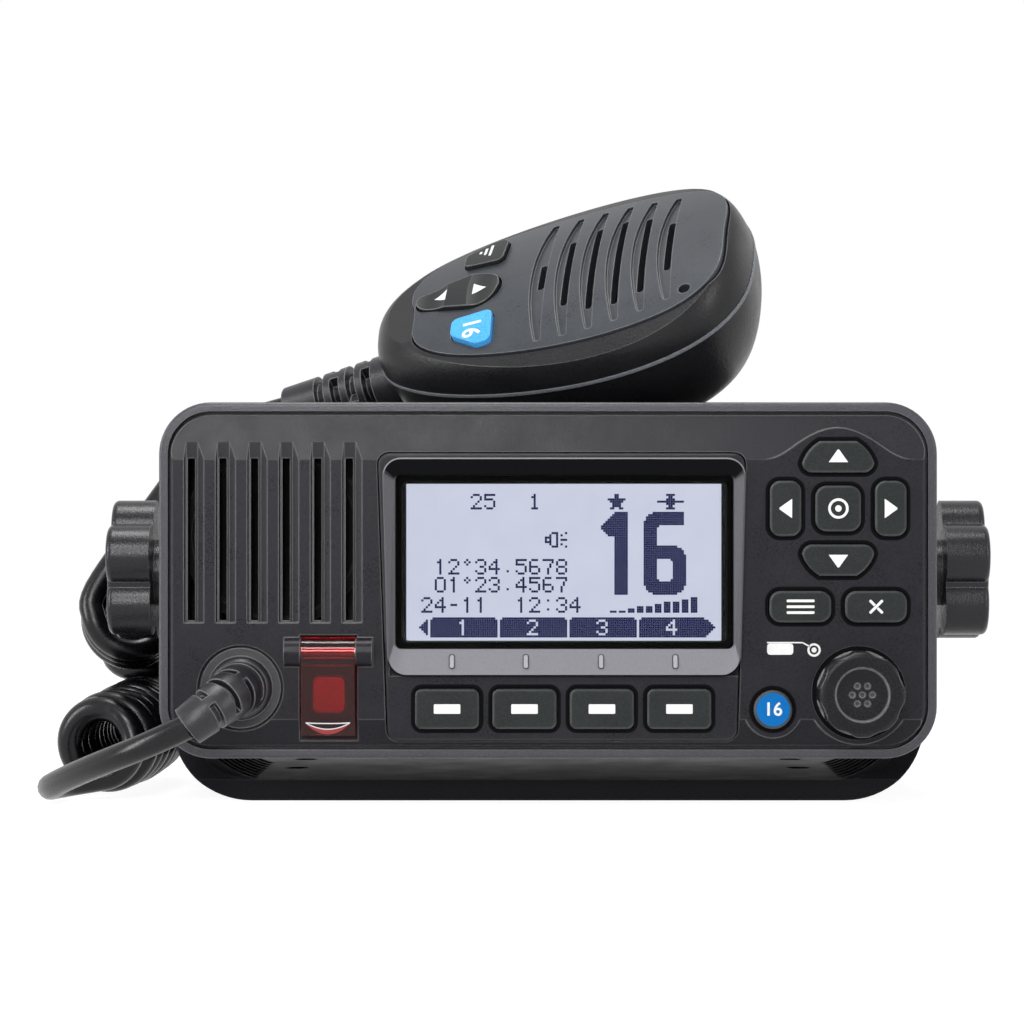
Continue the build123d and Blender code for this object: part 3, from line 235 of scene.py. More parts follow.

# Each material's wear_and_highlight pales its edges: partly wear, partly a painted highlight.
MATERIALS = {
    "bracket_black": moulded("bracket_black", (0.008, 0.008, 0.010), 0.5, grain=0.5, mottle=0.05, wear_and_highlight=0.35,
                             level=0.07),
    "knob_black": moulded("knob_black", (0.006, 0.006, 0.008), 0.27, grain=0.4, depth=0.05, wear_and_highlight=0.6,
                          level=0.32),
    "steel": brushed("steel", (0.62, 0.62, 0.63), 0.28),
    "housing_grey": moulded("housing_grey", (0.033, 0.033, 0.040), 0.40, grain=0.45, depth=0.05, wear_and_highlight=0.6,
                            level=0.2, coat=0.3),
    "fascia_grey": moulded("fascia_grey", (0.008, 0.008, 0.011), 0.31, grain=0.42, depth=0.022, wear_and_highlight=0.75,
                           edge=0.5, level=0.16),
    "surround_black": moulded("surround_black", (0.009, 0.009, 0.012), 0.31, grain=0.4, depth=0.02, wear_and_highlight=0.7,
                              edge=0.45, level=0.15),
    "window": tinted("window", (1.0, 1.0, 1.0), 0.0, 1.0, ior=1.15),
    "display": glowing("display", LCD_PALE, 0.07),
    "bezel_silver": moulded("bezel_silver", (0.205, 0.202, 0.220), 0.42, grain=0.25, depth=0.012, wear_and_highlight=0.3),
    "key_black": moulded("key_black", (0.013, 0.015, 0.015), 0.36, grain=0.4, depth=0.02, wear_and_highlight=1.0, edge=0.5,
                         level=0.13),
    "key_blue_ring": moulded("key_blue_ring", (0.022, 0.023, 0.025), 0.40, grain=0.4, depth=0.03, wear_and_highlight=0.8,
                             edge=0.45, level=0.3),
    "distress_red": tinted("distress_red", (0.62, 0.008, 0.014), 0.03, 1.0, ior=1.35),
    "button_red": moulded("button_red", (0.30, 0.006, 0.008), 0.38, grain=0.4, wear_and_highlight=0.2),
    "knob_grey": moulded("knob_grey", (0.006, 0.006, 0.008), 0.25, grain=0.45, depth=0.02, wear_and_highlight=1.0, edge=0.6,
                         level=0.15),
    "boot_rubber": moulded("boot_rubber", (0.010, 0.010, 0.013), 0.33, grain=0.4, depth=0.06, wear_and_highlight=0.9,
                           edge=0.5, level=0.4),
    "cord_black": moulded("cord_black", (0.002, 0.002, 0.003), 0.27, grain=1.2, depth=0.006, wear_and_highlight=0.0,
                          edge=0.1, level=0.3),
    "chassis_black": moulded("chassis_black", (0.014, 0.014, 0.016), 0.45, grain=0.6, depth=0.05, wear_and_highlight=0.6,
                             level=0.3),
    "board_green": moulded("board_green", (0.02, 0.13, 0.05), 0.4, grain=1.5, depth=0.02),
    "shield_tin": brushed("shield_tin", (0.68, 0.68, 0.68), 0.35, pitch=0.5),
    "nickel": brushed("nickel", (0.50, 0.49, 0.46), 0.26),
    "socket_black": moulded("socket_black", (0.018, 0.018, 0.018), 0.45, grain=0.5, level=0.3),
    "speaker_black": moulded("speaker_black", (0.006, 0.006, 0.006), 0.8, grain=0.9, depth=0.05, level=0.1),
    "shell_black": moulded("shell_black", (0.006, 0.006, 0.007), 0.33, grain=0.6, depth=0.07, wear_and_highlight=0.35,
                           level=0.26),
    "plate_slate": moulded("plate_slate", (0.021, 0.024, 0.029), 0.33, grain=0.4, depth=0.03, wear_and_highlight=0.7,
                           edge=0.4, level=0.35),
    "seal_grey": moulded("seal_grey", (0.105, 0.112, 0.125), 0.45, grain=0.6, wear_and_highlight=0.2),
    "handset_blue": moulded("handset_blue", (0.045, 0.27, 0.60), 0.38, grain=0.4, depth=0.02, wear_and_highlight=0.3,
                            level=0.3),
    "pad_rubber": moulded("pad_rubber", (0.014, 0.014, 0.014), 0.6, grain=0.5, depth=0.03, level=0.25),
}
WHITE_PRINT = printed("white_print", WHITE_INK)
BLUE_PRINT = printed("blue_print", KEY_BLUE, 0.35, 0.08)
# Black ink for the window's printed border, also used as painted shade in the rings round the keys.
BLACK_PRINT_AND_SHADE = printed("black_print", (0.003, 0.003, 0.004), 0.5, 0.03)
LCD_INK = glowing("lcd_ink", LCD_NAVY, 0.25)

for row in frame["record"]["materials"]:
    for node in nodes.values():
        for index, used in enumerate(node.material_slots):
            if used.material and used.material.name.split(".")[0] == row["slot"]:
                node.material_slots[index].material = MATERIALS[row["slot"]]


# ---------------------------------------------------------------- mesh helpers
def add_piece(name, mesh, material, body):
    piece = bpy.data.objects.new(name, mesh)
    bpy.context.scene.collection.objects.link(piece)
    mesh.materials.clear()
    mesh.materials.append(material)
    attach(piece, body)
    return piece


def mesh_from(name, shape):
    """Mesh of a bmesh, its faces turned outwards."""
    bmesh.ops.recalc_face_normals(shape, faces=shape.faces)
    mesh = bpy.data.meshes.new(name)
    shape.to_mesh(mesh)
    shape.free()
    return mesh


def add_band(shape, here, after):
    """Quads between two matching closed loops of vertices."""
    count = len(here)
    for index in range(count):
        following = (index + 1) % count
        shape.faces.new([here[index], here[following], after[following], after[index]])


def add_prism(shape, low, high):
    """Closed prism between two matching closed loops of vertices."""
    shape.faces.new(high)
    shape.faces.new(low[::-1])
    add_band(shape, low, high)


def prism_mesh(name, outlines, matrix, thickness_mm):
    """Closed thin prisms on outlines of (x, y) millimetres in the matrix's plane, rising along its z."""
    shape = bmesh.new()
    for outline in outlines:
        low, high = [
            [shape.verts.new(matrix @ Vector((x * MM, y * MM, rise * MM))) for x, y in outline]
            for rise in (0, thickness_mm)
        ]
        add_prism(shape, low, high)
    return mesh_from(name, shape)


def disc_outline(x, y, radius, count=40):
    steps = [2 * math.pi * index / count for index in range(count)]
    return [(x + radius * math.cos(step), y + radius * math.sin(step)) for step in steps]


def ring_outlines(x, y, inner, outer, start=0.0, end=360.0, count=36):
    """Ring or arc of small quads between two angles in degrees."""
    steps = [math.radians(start + (end - start) * index / count) for index in range(count + 1)]
    quads = []
    for here, after in zip(steps, steps[1:]):
        corners = [(inner, here), (outer, here), (outer, after), (inner, after)]
        quads.append([(x + reach * math.cos(turn), y + reach * math.sin(turn)) for reach, turn in corners])
    return quads


def rounded_outline(x, y, width, height, radius, count=6):
    points = []
    corners = [(1, 1, 0), (-1, 1, 90), (-1, -1, 180), (1, -1, 270)]
    for side_x, side_y, start in corners:
        centre_x = x + side_x * (width / 2 - radius)
        centre_y = y + side_y * (height / 2 - radius)
        for index in range(count + 1):
            turn = math.radians(start + 90 * index / count)
            points.append((centre_x + radius * math.cos(turn), centre_y + radius * math.sin(turn)))
    return points


def turned(outline, degrees, x=0.0, y=0.0):
    """Outline turned about the origin and then moved."""
    turn = math.radians(degrees)
    cosine, sine = math.cos(turn), math.sin(turn)
    return [(x + a * cosine - b * sine, y + a * sine + b * cosine) for a, b in outline]


def digits_mesh(name, text, size_mm, matrix, weight_mm=0.07, thickness_mm=0.04):
    """Plain numerals, centred on the matrix's origin."""
    curve = bpy.data.curves.new(name, "FONT")
    curve.body = text
    curve.align_x = "CENTER"
    curve.align_y = "CENTER"
    curve.size = size_mm * MM
    curve.offset = weight_mm * MM
    curve.extrude = thickness_mm / 2 * MM
    curve.resolution_u = 6
    holder = bpy.data.objects.new(name, curve)
    bpy.context.scene.collection.objects.link(holder)
    bpy.context.view_layer.update()
    mesh = bpy.data.meshes.new_from_object(holder.evaluated_get(bpy.context.evaluated_depsgraph_get()))
    bpy.data.objects.remove(holder)
    mesh.transform(matrix @ Matrix.Translation((0, 0, thickness_mm / 2 * MM)))
    return mesh


# ---------------------------------------------------------------- curly cord
CORD_RADIUS = 3.0 * MM
# Points chosen along each stretch, in millimetres.
LEAD_FRONT = [
    (-81.2, -99.0, 20.6), (-89.5, -98.2, 16.6), (-101.0, -90.0, 12.0),
    (-111.5, -77.0, 7.4), (-117.6, -66.0, 4.2), (-118.6, -56.0, 3.4), (-114.2, -50.2, 3.9),
]
COIL_AXIS = [
    (-108.2, -50.5, 12.8), (-104.9, -30.0, 13.8), (-104.6, 0.0, 14.3), (-104.8, 18.5, 14.4),
    (-105.7, 28.5, 28.0), (-106.8, 18.5, 41.9), (-107.6, 2.0, 40.4), (-104.2, -17.0, 44.6),
]
LEAD_HANDSET = [
    (-115.2, -16.2, 47.4), (-109.2, -14.0, 57.2), (-99.6, -8.0, 70.6),
    (-91.5, 0.0, 83.5), (-80.5, 3.0, 92.7), (-66.6, -1.5, 95.9),
]
COIL_RADIUS = 9.6                     # middle of the wire from the coil's axis
FIRST_TURN_RADIUS = 7.8
BEND_RADIUS_LOSS = 1.2                # how much smaller the turns are at the hairpin
TURN_PITCH = 6.35                     # wire's diameter and a hair between turns
FIRST_PITCH = 9.2
WIDEST_PITCH = 25.0
COIL_START_DEG = 0.0                  # from straight down, towards +X
COIL_END_DEG = 270.0                  # the tail leaves upwards on the outer side
POINTS_PER_TURN = 16
WALK_STEP = 0.5                       # along the coil's axis
RADIUS_EASE, PITCH_EASE = 7, 9        # lengths over which the first turns reach their usual size and pitch
UNEVEN = 0.22                         # how far the turns' radius wanders
BEND_WINDOW = 6                       # steps before and after a place that its bend is read over
BEND_GAIN = 13                        # bend, in radians per mm, times this gives the share of the loss
DIRECTION_WINDOW = 4                  # steps before and after a place that its direction is read over


def nurbs(name, points, bevel=0.0, resolution=4):
    """Mesh or line of a smooth curve that has these metre points as control points."""
    curve = bpy.data.curves.new(name, "CURVE")
    curve.dimensions = "3D"
    spline = curve.splines.new("NURBS")
    spline.points.add(len(points) - 1)
    for control, point in zip(spline.points, points):
        control.co = (*point, 1.0)
    spline.order_u = 3
    spline.use_endpoint_u = True
    spline.resolution_u = resolution
    curve.bevel_depth = bevel
    curve.bevel_resolution = 5
    curve.use_fill_caps = True
    holder = bpy.data.objects.new(name, curve)
    bpy.context.scene.collection.objects.link(holder)
    bpy.context.view_layer.update()
    mesh = bpy.data.meshes.new_from_object(holder)
    bpy.data.objects.remove(holder)
    return mesh


def walk(points, step):
    """Places and directions an even step apart along a line of points."""
    places, travelled, due = [], 0.0, 0.0
    for here, after in zip(points, points[1:]):
        run = (after - here).length
        while due <= travelled + run and run > 0:
            places.append(here + (after - here) * ((due - travelled) / run))
            due += step
        travelled += run
    last, window = len(places) - 1, DIRECTION_WINDOW
    directions = [
        (places[min(index + window, last)] - places[max(index - window, 0)]).normalized()
        for index in range(len(places))
    ]
    return places, directions


def coil_points():
    """Control points of the helix round the coil's axis."""
    step = WALK_STEP * MM
    axis_points = [Vector(point) * MM for point in COIL_AXIS]
    axis_line = [vertex.co.copy() for vertex in nurbs("coil_axis", axis_points, resolution=24).vertices]
    places, directions = walk(axis_line, step)
    down = (Vector((0, 0, -1)) - directions[0] * -directions[0].z).normalized()
    phase = math.radians(COIL_START_DEG)
    spacing = 2 * math.pi / POINTS_PER_TURN
    due = phase
    points = []
    for index, (place, direction) in enumerate(zip(places, directions)):
        down = (down - direction * down.dot(direction)).normalized()
        side = down.cross(direction)
        along = index * step / MM
        radius = COIL_RADIUS - (COIL_RADIUS - FIRST_TURN_RADIUS) * math.exp(-along / RADIUS_EASE)
        radius += UNEVEN * math.sin(0.23 * along) * math.sin(0.071 * along)
        ahead = directions[min(index + BEND_WINDOW, len(directions) - 1)]
        bend = directions[max(index - BEND_WINDOW, 0)].angle(ahead) / (2 * BEND_WINDOW * step / MM)
        radius -= BEND_RADIUS_LOSS * min(bend * BEND_GAIN, 1)
        pitch = TURN_PITCH / max(1 - radius * bend, TURN_PITCH / WIDEST_PITCH)
        pitch += (FIRST_PITCH - TURN_PITCH) * math.exp(-(along / PITCH_EASE) ** 2)
        while due <= phase + 2 * math.pi * WALK_STEP / pitch:
            reach = radius / math.cos(spacing / 2) * MM
            points.append(place + (down * math.cos(due) + side * math.sin(due)) * reach)
            due += spacing
        phase += 2 * math.pi * WALK_STEP / pitch
    turn_end = math.radians(COIL_END_DEG)
    extra = int(round(((due - spacing - turn_end) % (2 * math.pi)) / spacing))
    points = points[:-extra] if extra else points
    return points


def make_cord():
    """Front lead, coil and handset lead as one wire."""
    route = [Vector(point) * MM for point in LEAD_FRONT] + coil_points()
    route += [Vector(point) * MM for point in LEAD_HANDSET]
    line = [tuple(vertex.co) for vertex in nurbs("cord_line", route, resolution=4).vertices]
    mesh = nurbs("cord", route, bevel=CORD_RADIUS, resolution=4)
    mesh.materials.clear()
    mesh.materials.append(MATERIALS["cord_black"])
    mesh.polygons.foreach_set("use_smooth", [True] * len(mesh.polygons))
    cord = bpy.data.objects.new("cord", mesh)
    bpy.context.scene.collection.objects.link(cord)
    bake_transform(cord)
    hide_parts("cord_lead_front", "cord_coil", "cord_lead_handset")


make_cord()

# ---------------------------------------------------------------- dot-matrix display
DOT = 0.5184                          # pitch of the dots, in mm
DOT_FILL = 0.975                      # lit share of the pitch
DOTS_LEFT_U, DOTS_TOP_V = -30.3, 20.0
LCD_DEPTH = 1.75                      # display module's face behind the panel's
DOT_PROUD, DOT_THICKNESS = 0.005, 0.03
BORDER_DEPTH, BORDER_THICKNESS = 1.72, 0.04
BORDER_OUTER = (-35.15, 42.7, 24.3, -15.7)      # left, right, top and bottom
BORDER_INNER = (-32.7, 40.0, 22.3, -14.1)
GLYPHS = {
    "0": ".###. #...# #...# #...# #...# #...# .###.",
    "1": "..#.. .##.. ..#.. ..#.. ..#.. ..#.. ..#..",
    "2": ".###. #...# ....# ...#. ..#.. .#... #####",
    "3": ".###. #...# ....# ..##. ....# #...# .###.",
    "4": "...#. ..##. .#.#. #..#. ##### ...#. ...#.",
    "5": "##### #.... ####. ....# ....# #...# .###.",
    "6": ".###. #.... #.... ####. #...# #...# .###.",
    "7": "##### ....# ...#. ...#. ..#.. ..#.. ..#..",
    "8": ".###. #...# #...# .###. #...# #...# .###.",
    "9": ".###. #...# #...# .#### ....# ....# .###.",
    ".": "..... ..... ..... ..... ..... ..#.. .....",
    ":": "..... ..#.. ..... ..... ..... ..#.. .....",
    "-": "..... ..... ..... .###. ..... ..... .....",
    "degree": "..#.. .#.#. ..#.. ..... ..... ..... .....",
    "star": "...##... ...##... ######## .######. ..####.. ..####.. .##..##.",
    "receiver": "....####.... .....##..... ....####.... ############ "
                "....####.... .....##..... ....####....",
    "speaker": "...### ..#..# ###..# #.#..# ###..# ..#..# ...###",
    "waves": "..# #.. ... ### ... #.. ..#",
    "left": "...# ..## .### #### .### ..## ...#",
    "right": "#... ##.. ###. #### ###. ##.. #...",
    "one": "..#.. .##.. ..#.. ..#.. ..#.. ..#.. .###.",
}
CELL = 6                              # columns from one numeral to the next
LABEL_FIRST, LABEL_PITCH, LABEL_WIDTH = 6, 31, 30
LABEL_TOP, LABEL_HEIGHT = 55, 9
BIG_TOP, BIG_HEIGHT, BIG_STROKE = 8, 37, 6
BIG_ONE_LEFT, BIG_SIX_LEFT = 82, 101
# Rows of the large six, from and to, with the columns that are lit.
SIX_BANDS = [
    (0, 0, [(4, 17)]), (1, 1, [(2, 17)]), (2, 3, [(1, 17)]), (4, 5, [(0, 17)]), (6, 6, [(0, 6)]),
    (7, 14, [(0, 5)]), (15, 15, [(0, 14)]), (16, 16, [(0, 16)]), (17, 18, [(0, 17)]), (19, 20, [(0, 18)]),
    (21, 21, [(0, 5), (12, 18)]), (22, 29, [(0, 5), (13, 18)]), (30, 30, [(0, 6), (12, 18)]),
    (31, 32, [(0, 18)]), (33, 34, [(1, 17)]), (35, 35, [(2, 16)]), (36, 36, [(4, 14)]),
]


def glyph_dots(name, column, row):
    lines = GLYPHS[name].split()
    return {
        (column + across, row + down)
        for down, line in enumerate(lines) for across, mark in enumerate(line) if mark == "#"
    }


def text_dots(text, column, row):
    lit = set()
    for index, mark in enumerate(text):
        if mark != " ":
            lit |= glyph_dots("degree" if mark == "*" else mark, column + CELL * index, row)
    return lit


def big_one_dots():
    lit = set()
    for row in range(BIG_HEIGHT):
        flag = abs(row - 6.5) - 0.5 if row <= 10 else BIG_STROKE
        lit |= {(BIG_ONE_LEFT + column, BIG_TOP + row) for column in range(int(flag), 2 * BIG_STROKE)}
    return lit


def big_six_dots():
    lit = set()
    for first, last, spans in SIX_BANDS:
        for row in range(first, last + 1):
            for low, high in spans:
                lit |= {(BIG_SIX_LEFT + column, BIG_TOP + row) for column in range(low, high + 1)}
    return lit


def label_dots(index):
    """Dark label with cut top corners and a pale number in its middle."""
    left = LABEL_FIRST + LABEL_PITCH * index
    right = left + LABEL_WIDTH - 1
    box = {(column, LABEL_TOP + row) for column in range(left, right + 1) for row in range(LABEL_HEIGHT)}
    box -= {(left, LABEL_TOP), (right, LABEL_TOP)}
    return box - text_dots(str(index + 1), left + LABEL_WIDTH // 2 - 3, LABEL_TOP + 1)


def display_dots():
    lit = text_dots("25", 24, 0) | glyph_dots("one", 50, 0)
    lit |= glyph_dots("star", 85, 0) | glyph_dots("receiver", 107, 0)
    lit |= glyph_dots("speaker", 57, 17) | glyph_dots("waves", 64, 17)
    # The asterisk stands for the degree sign.
    lit |= text_dots("12*34.5678", 8, 29) | text_dots("01*23.4567", 8, 37)
    lit |= text_dots("24-11", 2, 46) | text_dots("12:34", 44, 46)
    for step in range(10):
        height = 1 + (step * 7) // 10
        lit |= {(86 + 4 * step + wide, 52 - tall) for wide in range(3) for tall in range(height)}
    for index in range(4):
        lit |= label_dots(index)
    lit |= glyph_dots("left", 1, 56) | glyph_dots("right", 129, 56)
    return lit | big_one_dots() | big_six_dots()


def make_display():
    margin = (1 - DOT_FILL) / 2
    outlines = []
    for column, row in sorted(display_dots()):
        left, right = (column + margin) * DOT, (column + 1 - margin) * DOT
        top, bottom = -(row + margin) * DOT, -(row + 1 - margin) * DOT
        outlines.append([(left, bottom), (right, bottom), (right, top), (left, top)])
    matrix = panel_matrix(DOTS_LEFT_U, DOTS_TOP_V, LCD_DEPTH - DOT_PROUD)
    mesh = prism_mesh("display_dots", outlines, matrix, DOT_THICKNESS)
    add_piece("display_dots", mesh, LCD_INK, "radio")
    # Black border printed behind the window.
    border = []
    outer_left, outer_right, outer_top, outer_bottom = BORDER_OUTER
    left, right, top, bottom = BORDER_INNER
    border.append([(outer_left, top), (outer_right, top), (outer_right, outer_top), (outer_left, outer_top)])
    border.append([(outer_left, outer_bottom), (outer_right, outer_bottom), (outer_right, bottom),
                   (outer_left, bottom)])
    border.append([(outer_left, bottom), (left, bottom), (left, top), (outer_left, top)])
    border.append([(right, bottom), (outer_right, bottom), (outer_right, top), (right, top)])
    mesh = prism_mesh("window_border", border, panel_matrix(0, 0, BORDER_DEPTH), BORDER_THICKNESS)
    add_piece("window_border", mesh, BLACK_PRINT_AND_SHADE, "radio")


make_display()

# ---------------------------------------------------------------- frame round the window
SURROUND_PROUD = 0.7                  # surround's face in front of the fascia's
FRAME_PEAK = 2.35                     # frame's outer edge in front of the fascia
WINDOW_LEFT, WINDOW_RIGHT, WINDOW_TOP, WINDOW_BOTTOM = -35.2, 42.75, 24.35, -15.75
FRAME_LEFT, FRAME_RIGHT, FRAME_TOP, FRAME_BOTTOM = -38.2, 45.6, 28.3, -22.0
FRAME_LEAN = 1.3                      # how far the frame's sides lean in towards its foot
FRAME_BEVEL = 0.35                    # width of the frame's inner and outer bevels
INNER_CORNER, BRINK_CORNER, CREST_CORNER, OUTER_CORNER = 1.4, 1.75, 4.0, 4.4


def span_outline(left, right, top, bottom, radius, lean=0.0, count=8):
    """Rounded rectangle between four edges, its sides leaning in by lean towards the bottom."""
    middle = (left + right) / 2
    points = rounded_outline(middle, (top + bottom) / 2, right - left, top - bottom, radius, count)
    return [(x - lean * (top - y) / (top - bottom) * (1 if x > middle else -1), y) for x, y in points]


def ring_mesh(name, rings):
    """Closed band through matching outlines, each given with its depth, the last joined to the first."""
    shape = bmesh.new()
    loops = [[shape.verts.new(panel(u, v, depth)) for u, v in outline] for outline, depth in rings]
    for here, after in zip(loops, loops[1:] + loops[:1]):
        add_band(shape, here, after)
    return mesh_from(name, shape)


def frame_paint_shaded_by_facing():
    """Moulded frame toned by which way its faces point: black on its overhang (painted shade), grey at its
    sides and satin silver on its sill (painted highlight).
    """
    paint = Paint("window_frame")
    upward = paint.node("SeparateXYZ", Vector=paint.node("NewGeometry").outputs["Normal"]).outputs["Z"]
    fine = paint.noise(0.4)
    grey = paint.blend(fine, (0.080, 0.080, 0.089), (0.115, 0.114, 0.126))
    silver = paint.blend(fine, (0.170, 0.168, 0.184), (0.220, 0.217, 0.235))
    # Painted shade and highlight: faces pointing down go near black, faces pointing up go pale silver.
    shaded_to_grey = paint.blend(paint.spread(upward, -0.2, -0.02, 0.0, 1.0), (0.002, 0.002, 0.003), grey)
    base = paint.blend(paint.spread(upward, 0.06, 0.2, 0.0, 1.0), shaded_to_grey, silver)
    normal = paint.rounded_normal(0.4)
    gloss = paint.spread(fine, 0.3, 0.7, 0.34, 0.46)
    return paint.finish(Base_Color=base, Roughness=gloss, Normal=paint.bump(fine, 0.015, normal),
                        Specular_IOR_Level=0.06)


def make_frame():
    """Band from the window's edge over the crest and back to the display surround."""
    inner = span_outline(WINDOW_LEFT, WINDOW_RIGHT, WINDOW_TOP, WINDOW_BOTTOM, INNER_CORNER)
    brink = span_outline(WINDOW_LEFT - FRAME_BEVEL, WINDOW_RIGHT + FRAME_BEVEL, WINDOW_TOP + FRAME_BEVEL,
                         WINDOW_BOTTOM - FRAME_BEVEL, BRINK_CORNER)
    crest = span_outline(FRAME_LEFT + FRAME_BEVEL, FRAME_RIGHT - FRAME_BEVEL, FRAME_TOP - FRAME_BEVEL,
                         FRAME_BOTTOM + FRAME_BEVEL, CREST_CORNER, FRAME_LEAN)
    outer = span_outline(FRAME_LEFT, FRAME_RIGHT, FRAME_TOP, FRAME_BOTTOM, OUTER_CORNER, FRAME_LEAN)
    rings = [(inner, 0.4), (inner, -SURROUND_PROUD), (brink, -SURROUND_PROUD - 0.1), (crest, -FRAME_PEAK),
             (outer, -FRAME_PEAK + 0.25), (outer, -SURROUND_PROUD + 0.4)]
    mesh = ring_mesh("window_frame", rings)
    piece = add_piece("window_frame", mesh, frame_paint_shaded_by_facing(), "radio")
    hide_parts("display_bezel")


make_frame()

# ---------------------------------------------------------------- printed marks
INK = 0.04                            # thickness of the printed marks, in mm
KEY_PROUD = 1.3
SOFT_KEY_PROUD = 1.9
ENTER_U, ENTER_V = 66.8, 16.6
SIDE_KEY_OFFSET = 12.1
VERTICAL_KEY_OFFSET = 11.9
OBLONG_OFFSET, OBLONG_V = 8.7, -6.0
SOFT_FIRST_U, SOFT_PITCH, SOFT_V = -23.2, 17.8, -29.5
SOFT_KEYS = 4
BLUE_U, BLUE_V = 51.8, -29.7
BLUE_DISC_RADIUS, BLUE_NUMBER_SIZE = 3.86, 4.3
GUIDE_U, GUIDE_V = 50.2, -18.4
ARROW_SHIFT = 0.2                     # of the up and down arrows away from the middle key
STROKE, STROKE_CORNER = 0.62, 0.2     # of the bars and the cross
STROKE_HALF = 1.25                    # middle of each half of the cross's broken stroke
BAR_HEIGHTS = (-1.35, 0, 1.35)
LENS_PLACES_U, LENS_V, LENS_DEPTH = (-22.1, -5.1, 12.2, 29.3), -18.6, -1.64
LENS_SLOPE = math.atan2(1.6, 4.75)    # of the frame's sill


def mark(name, outlines, u, v, proud, body, slot="key_black", material=WHITE_PRINT):
    mesh = prism_mesh(name, outlines, panel_matrix(u, v, -proud), INK)
    return add_piece(name, mesh, material, body)


def triangle(width, height):
    """Arrowhead that points up, with blunt corners."""
    half, blunt = width / 2, 0.18
    return [(-half, -height / 2), (half, -height / 2), (half - blunt / 2, -height / 2 + blunt),
            (blunt, height / 2), (-blunt, height / 2), (-half + blunt / 2, -height / 2 + blunt)]


def make_panel_marks():
    """Generic marks on the keys, and the guide beside the volume knob."""
    for index in range(SOFT_KEYS):
        bar = rounded_outline(0, 0, 6.1, 2.2, 0.25)
        mark(f"soft_mark_{index + 1}", [bar], SOFT_FIRST_U + SOFT_PITCH * index, SOFT_V, SOFT_KEY_PROUD,
             f"soft_key_{index + 1}")
    arrow = triangle(4.4, 2.9)
    mark("up_mark", [turned(arrow, 0)], ENTER_U, ENTER_V + VERTICAL_KEY_OFFSET + ARROW_SHIFT, KEY_PROUD,
         "up_key")
    mark("down_mark", [turned(arrow, 180)], ENTER_U, ENTER_V - VERTICAL_KEY_OFFSET - ARROW_SHIFT, KEY_PROUD,
         "down_key")
    mark("left_mark", [turned(arrow, 90)], ENTER_U - SIDE_KEY_OFFSET, ENTER_V, KEY_PROUD, "left_key")
    mark("right_mark", [turned(arrow, -90)], ENTER_U + SIDE_KEY_OFFSET, ENTER_V, KEY_PROUD, "right_key")
    enter = ring_outlines(0, 0, 1.75, 2.35) + [disc_outline(0, 0, 0.75)]
    mark("enter_mark", enter, ENTER_U, ENTER_V, KEY_PROUD, "enter_key")
    bars = [rounded_outline(0, height, 6.4, STROKE, STROKE_CORNER) for height in BAR_HEIGHTS]
    mark("menu_mark", bars, ENTER_U - OBLONG_OFFSET, OBLONG_V, KEY_PROUD, "lower_left_key")
    cross = [turned(rounded_outline(0, 0, 4.2, STROKE, STROKE_CORNER), 45)]
    cross += [turned(rounded_outline(x, 0, 1.7, STROKE, STROKE_CORNER), -45)
              for x in (-STROKE_HALF, STROKE_HALF)]
    mark("clear_mark", cross, ENTER_U + OBLONG_OFFSET, OBLONG_V, KEY_PROUD, "lower_right_key")
    mark("blue_disc", [disc_outline(0, 0, BLUE_DISC_RADIUS)], BLUE_U, BLUE_V, KEY_PROUD, "blue_key",
         "key_blue_ring", BLUE_PRINT)
    place = panel_matrix(BLUE_U, BLUE_V, -KEY_PROUD - INK)
    mesh = digits_mesh("blue_number", "16", BLUE_NUMBER_SIZE, place)
    add_piece("blue_number", mesh, WHITE_PRINT, "blue_key")
    # Pill, line and ring beside the volume knob.
    guide = [rounded_outline(3.3, 2.6, 6.0, 2.6, 0.7)]
    guide.append([(0.3, 3.95), (8.7, 3.95), (8.55, 4.25), (0.3, 4.25)])
    guide.append([(8.5, 4.25), (8.5, 3.9), (10.1, 3.0), (10.3, 3.3)])
    guide += ring_outlines(11.1, 2.4, 1.05, 1.55) + [disc_outline(11.1, 2.4, 0.6, 16)]
    mark("knob_guide", guide, GUIDE_U, GUIDE_V, 0.0, "radio", "fascia_grey")


def make_bezel_marks():
    """Four silver lozenges with a dark edge, on the sill above the soft keys."""
    for index, u in enumerate(LENS_PLACES_U):
        matrix = panel_matrix(u, LENS_V, LENS_DEPTH) @ Matrix.Rotation(-LENS_SLOPE, 4, "X")
        lifted = matrix @ Matrix.Translation((0, 0, INK * MM))
        for kind, outline, place, slot in (
            ("mark", rounded_outline(0, 0, 1.45, 3.6, 0.7), matrix, "key_black"),
            ("lens", rounded_outline(0, 0, 1.0, 3.15, 0.48), lifted, "bezel_silver"),
        ):
            name = f"bezel_{kind}_{index + 1}"
            mesh = prism_mesh(name, [outline], place, INK)
            add_piece(name, mesh, MATERIALS[slot], "radio")


make_panel_marks()
make_bezel_marks()

# ---------------------------------------------------------------- painted shade round the keys
RAY_START = 20.0                      # how far in front of the panel a ray starts
SHADE_RING_START, SHADE_RING_END = 0.2, 0.95      # from the key's edge
SHADE_RING_SUNK, SHADE_RING_RISE = 0.03, 0.03     # below and above the carrier's face
CAP_DEPTH = 1.0                       # how much of a cap's front its outline is taken from
KNOB_DEPTH = 30.0                     # the whole knob
SAME_PLACE = 0.05                     # points of an outline nearer than this are one
SHARPEST = 0.5                        # least share of a corner's offset that is divided by


def widened(outline, amount_mm):
    """Convex outline of metre points, anticlockwise, moved out by an even amount."""
    points = []
    for before, here, after in zip(outline[-1:] + outline[:-1], outline, outline[1:] + outline[:1]):
        first, second = (here - before).normalized(), (after - here).normalized()
        out = Vector((first.y + second.y, -first.x - second.x)).normalized()
        share = max(out.dot(Vector((first.y, -first.x))), SHARPEST)
        points.append(here + out * (amount_mm * MM / share))
    return points


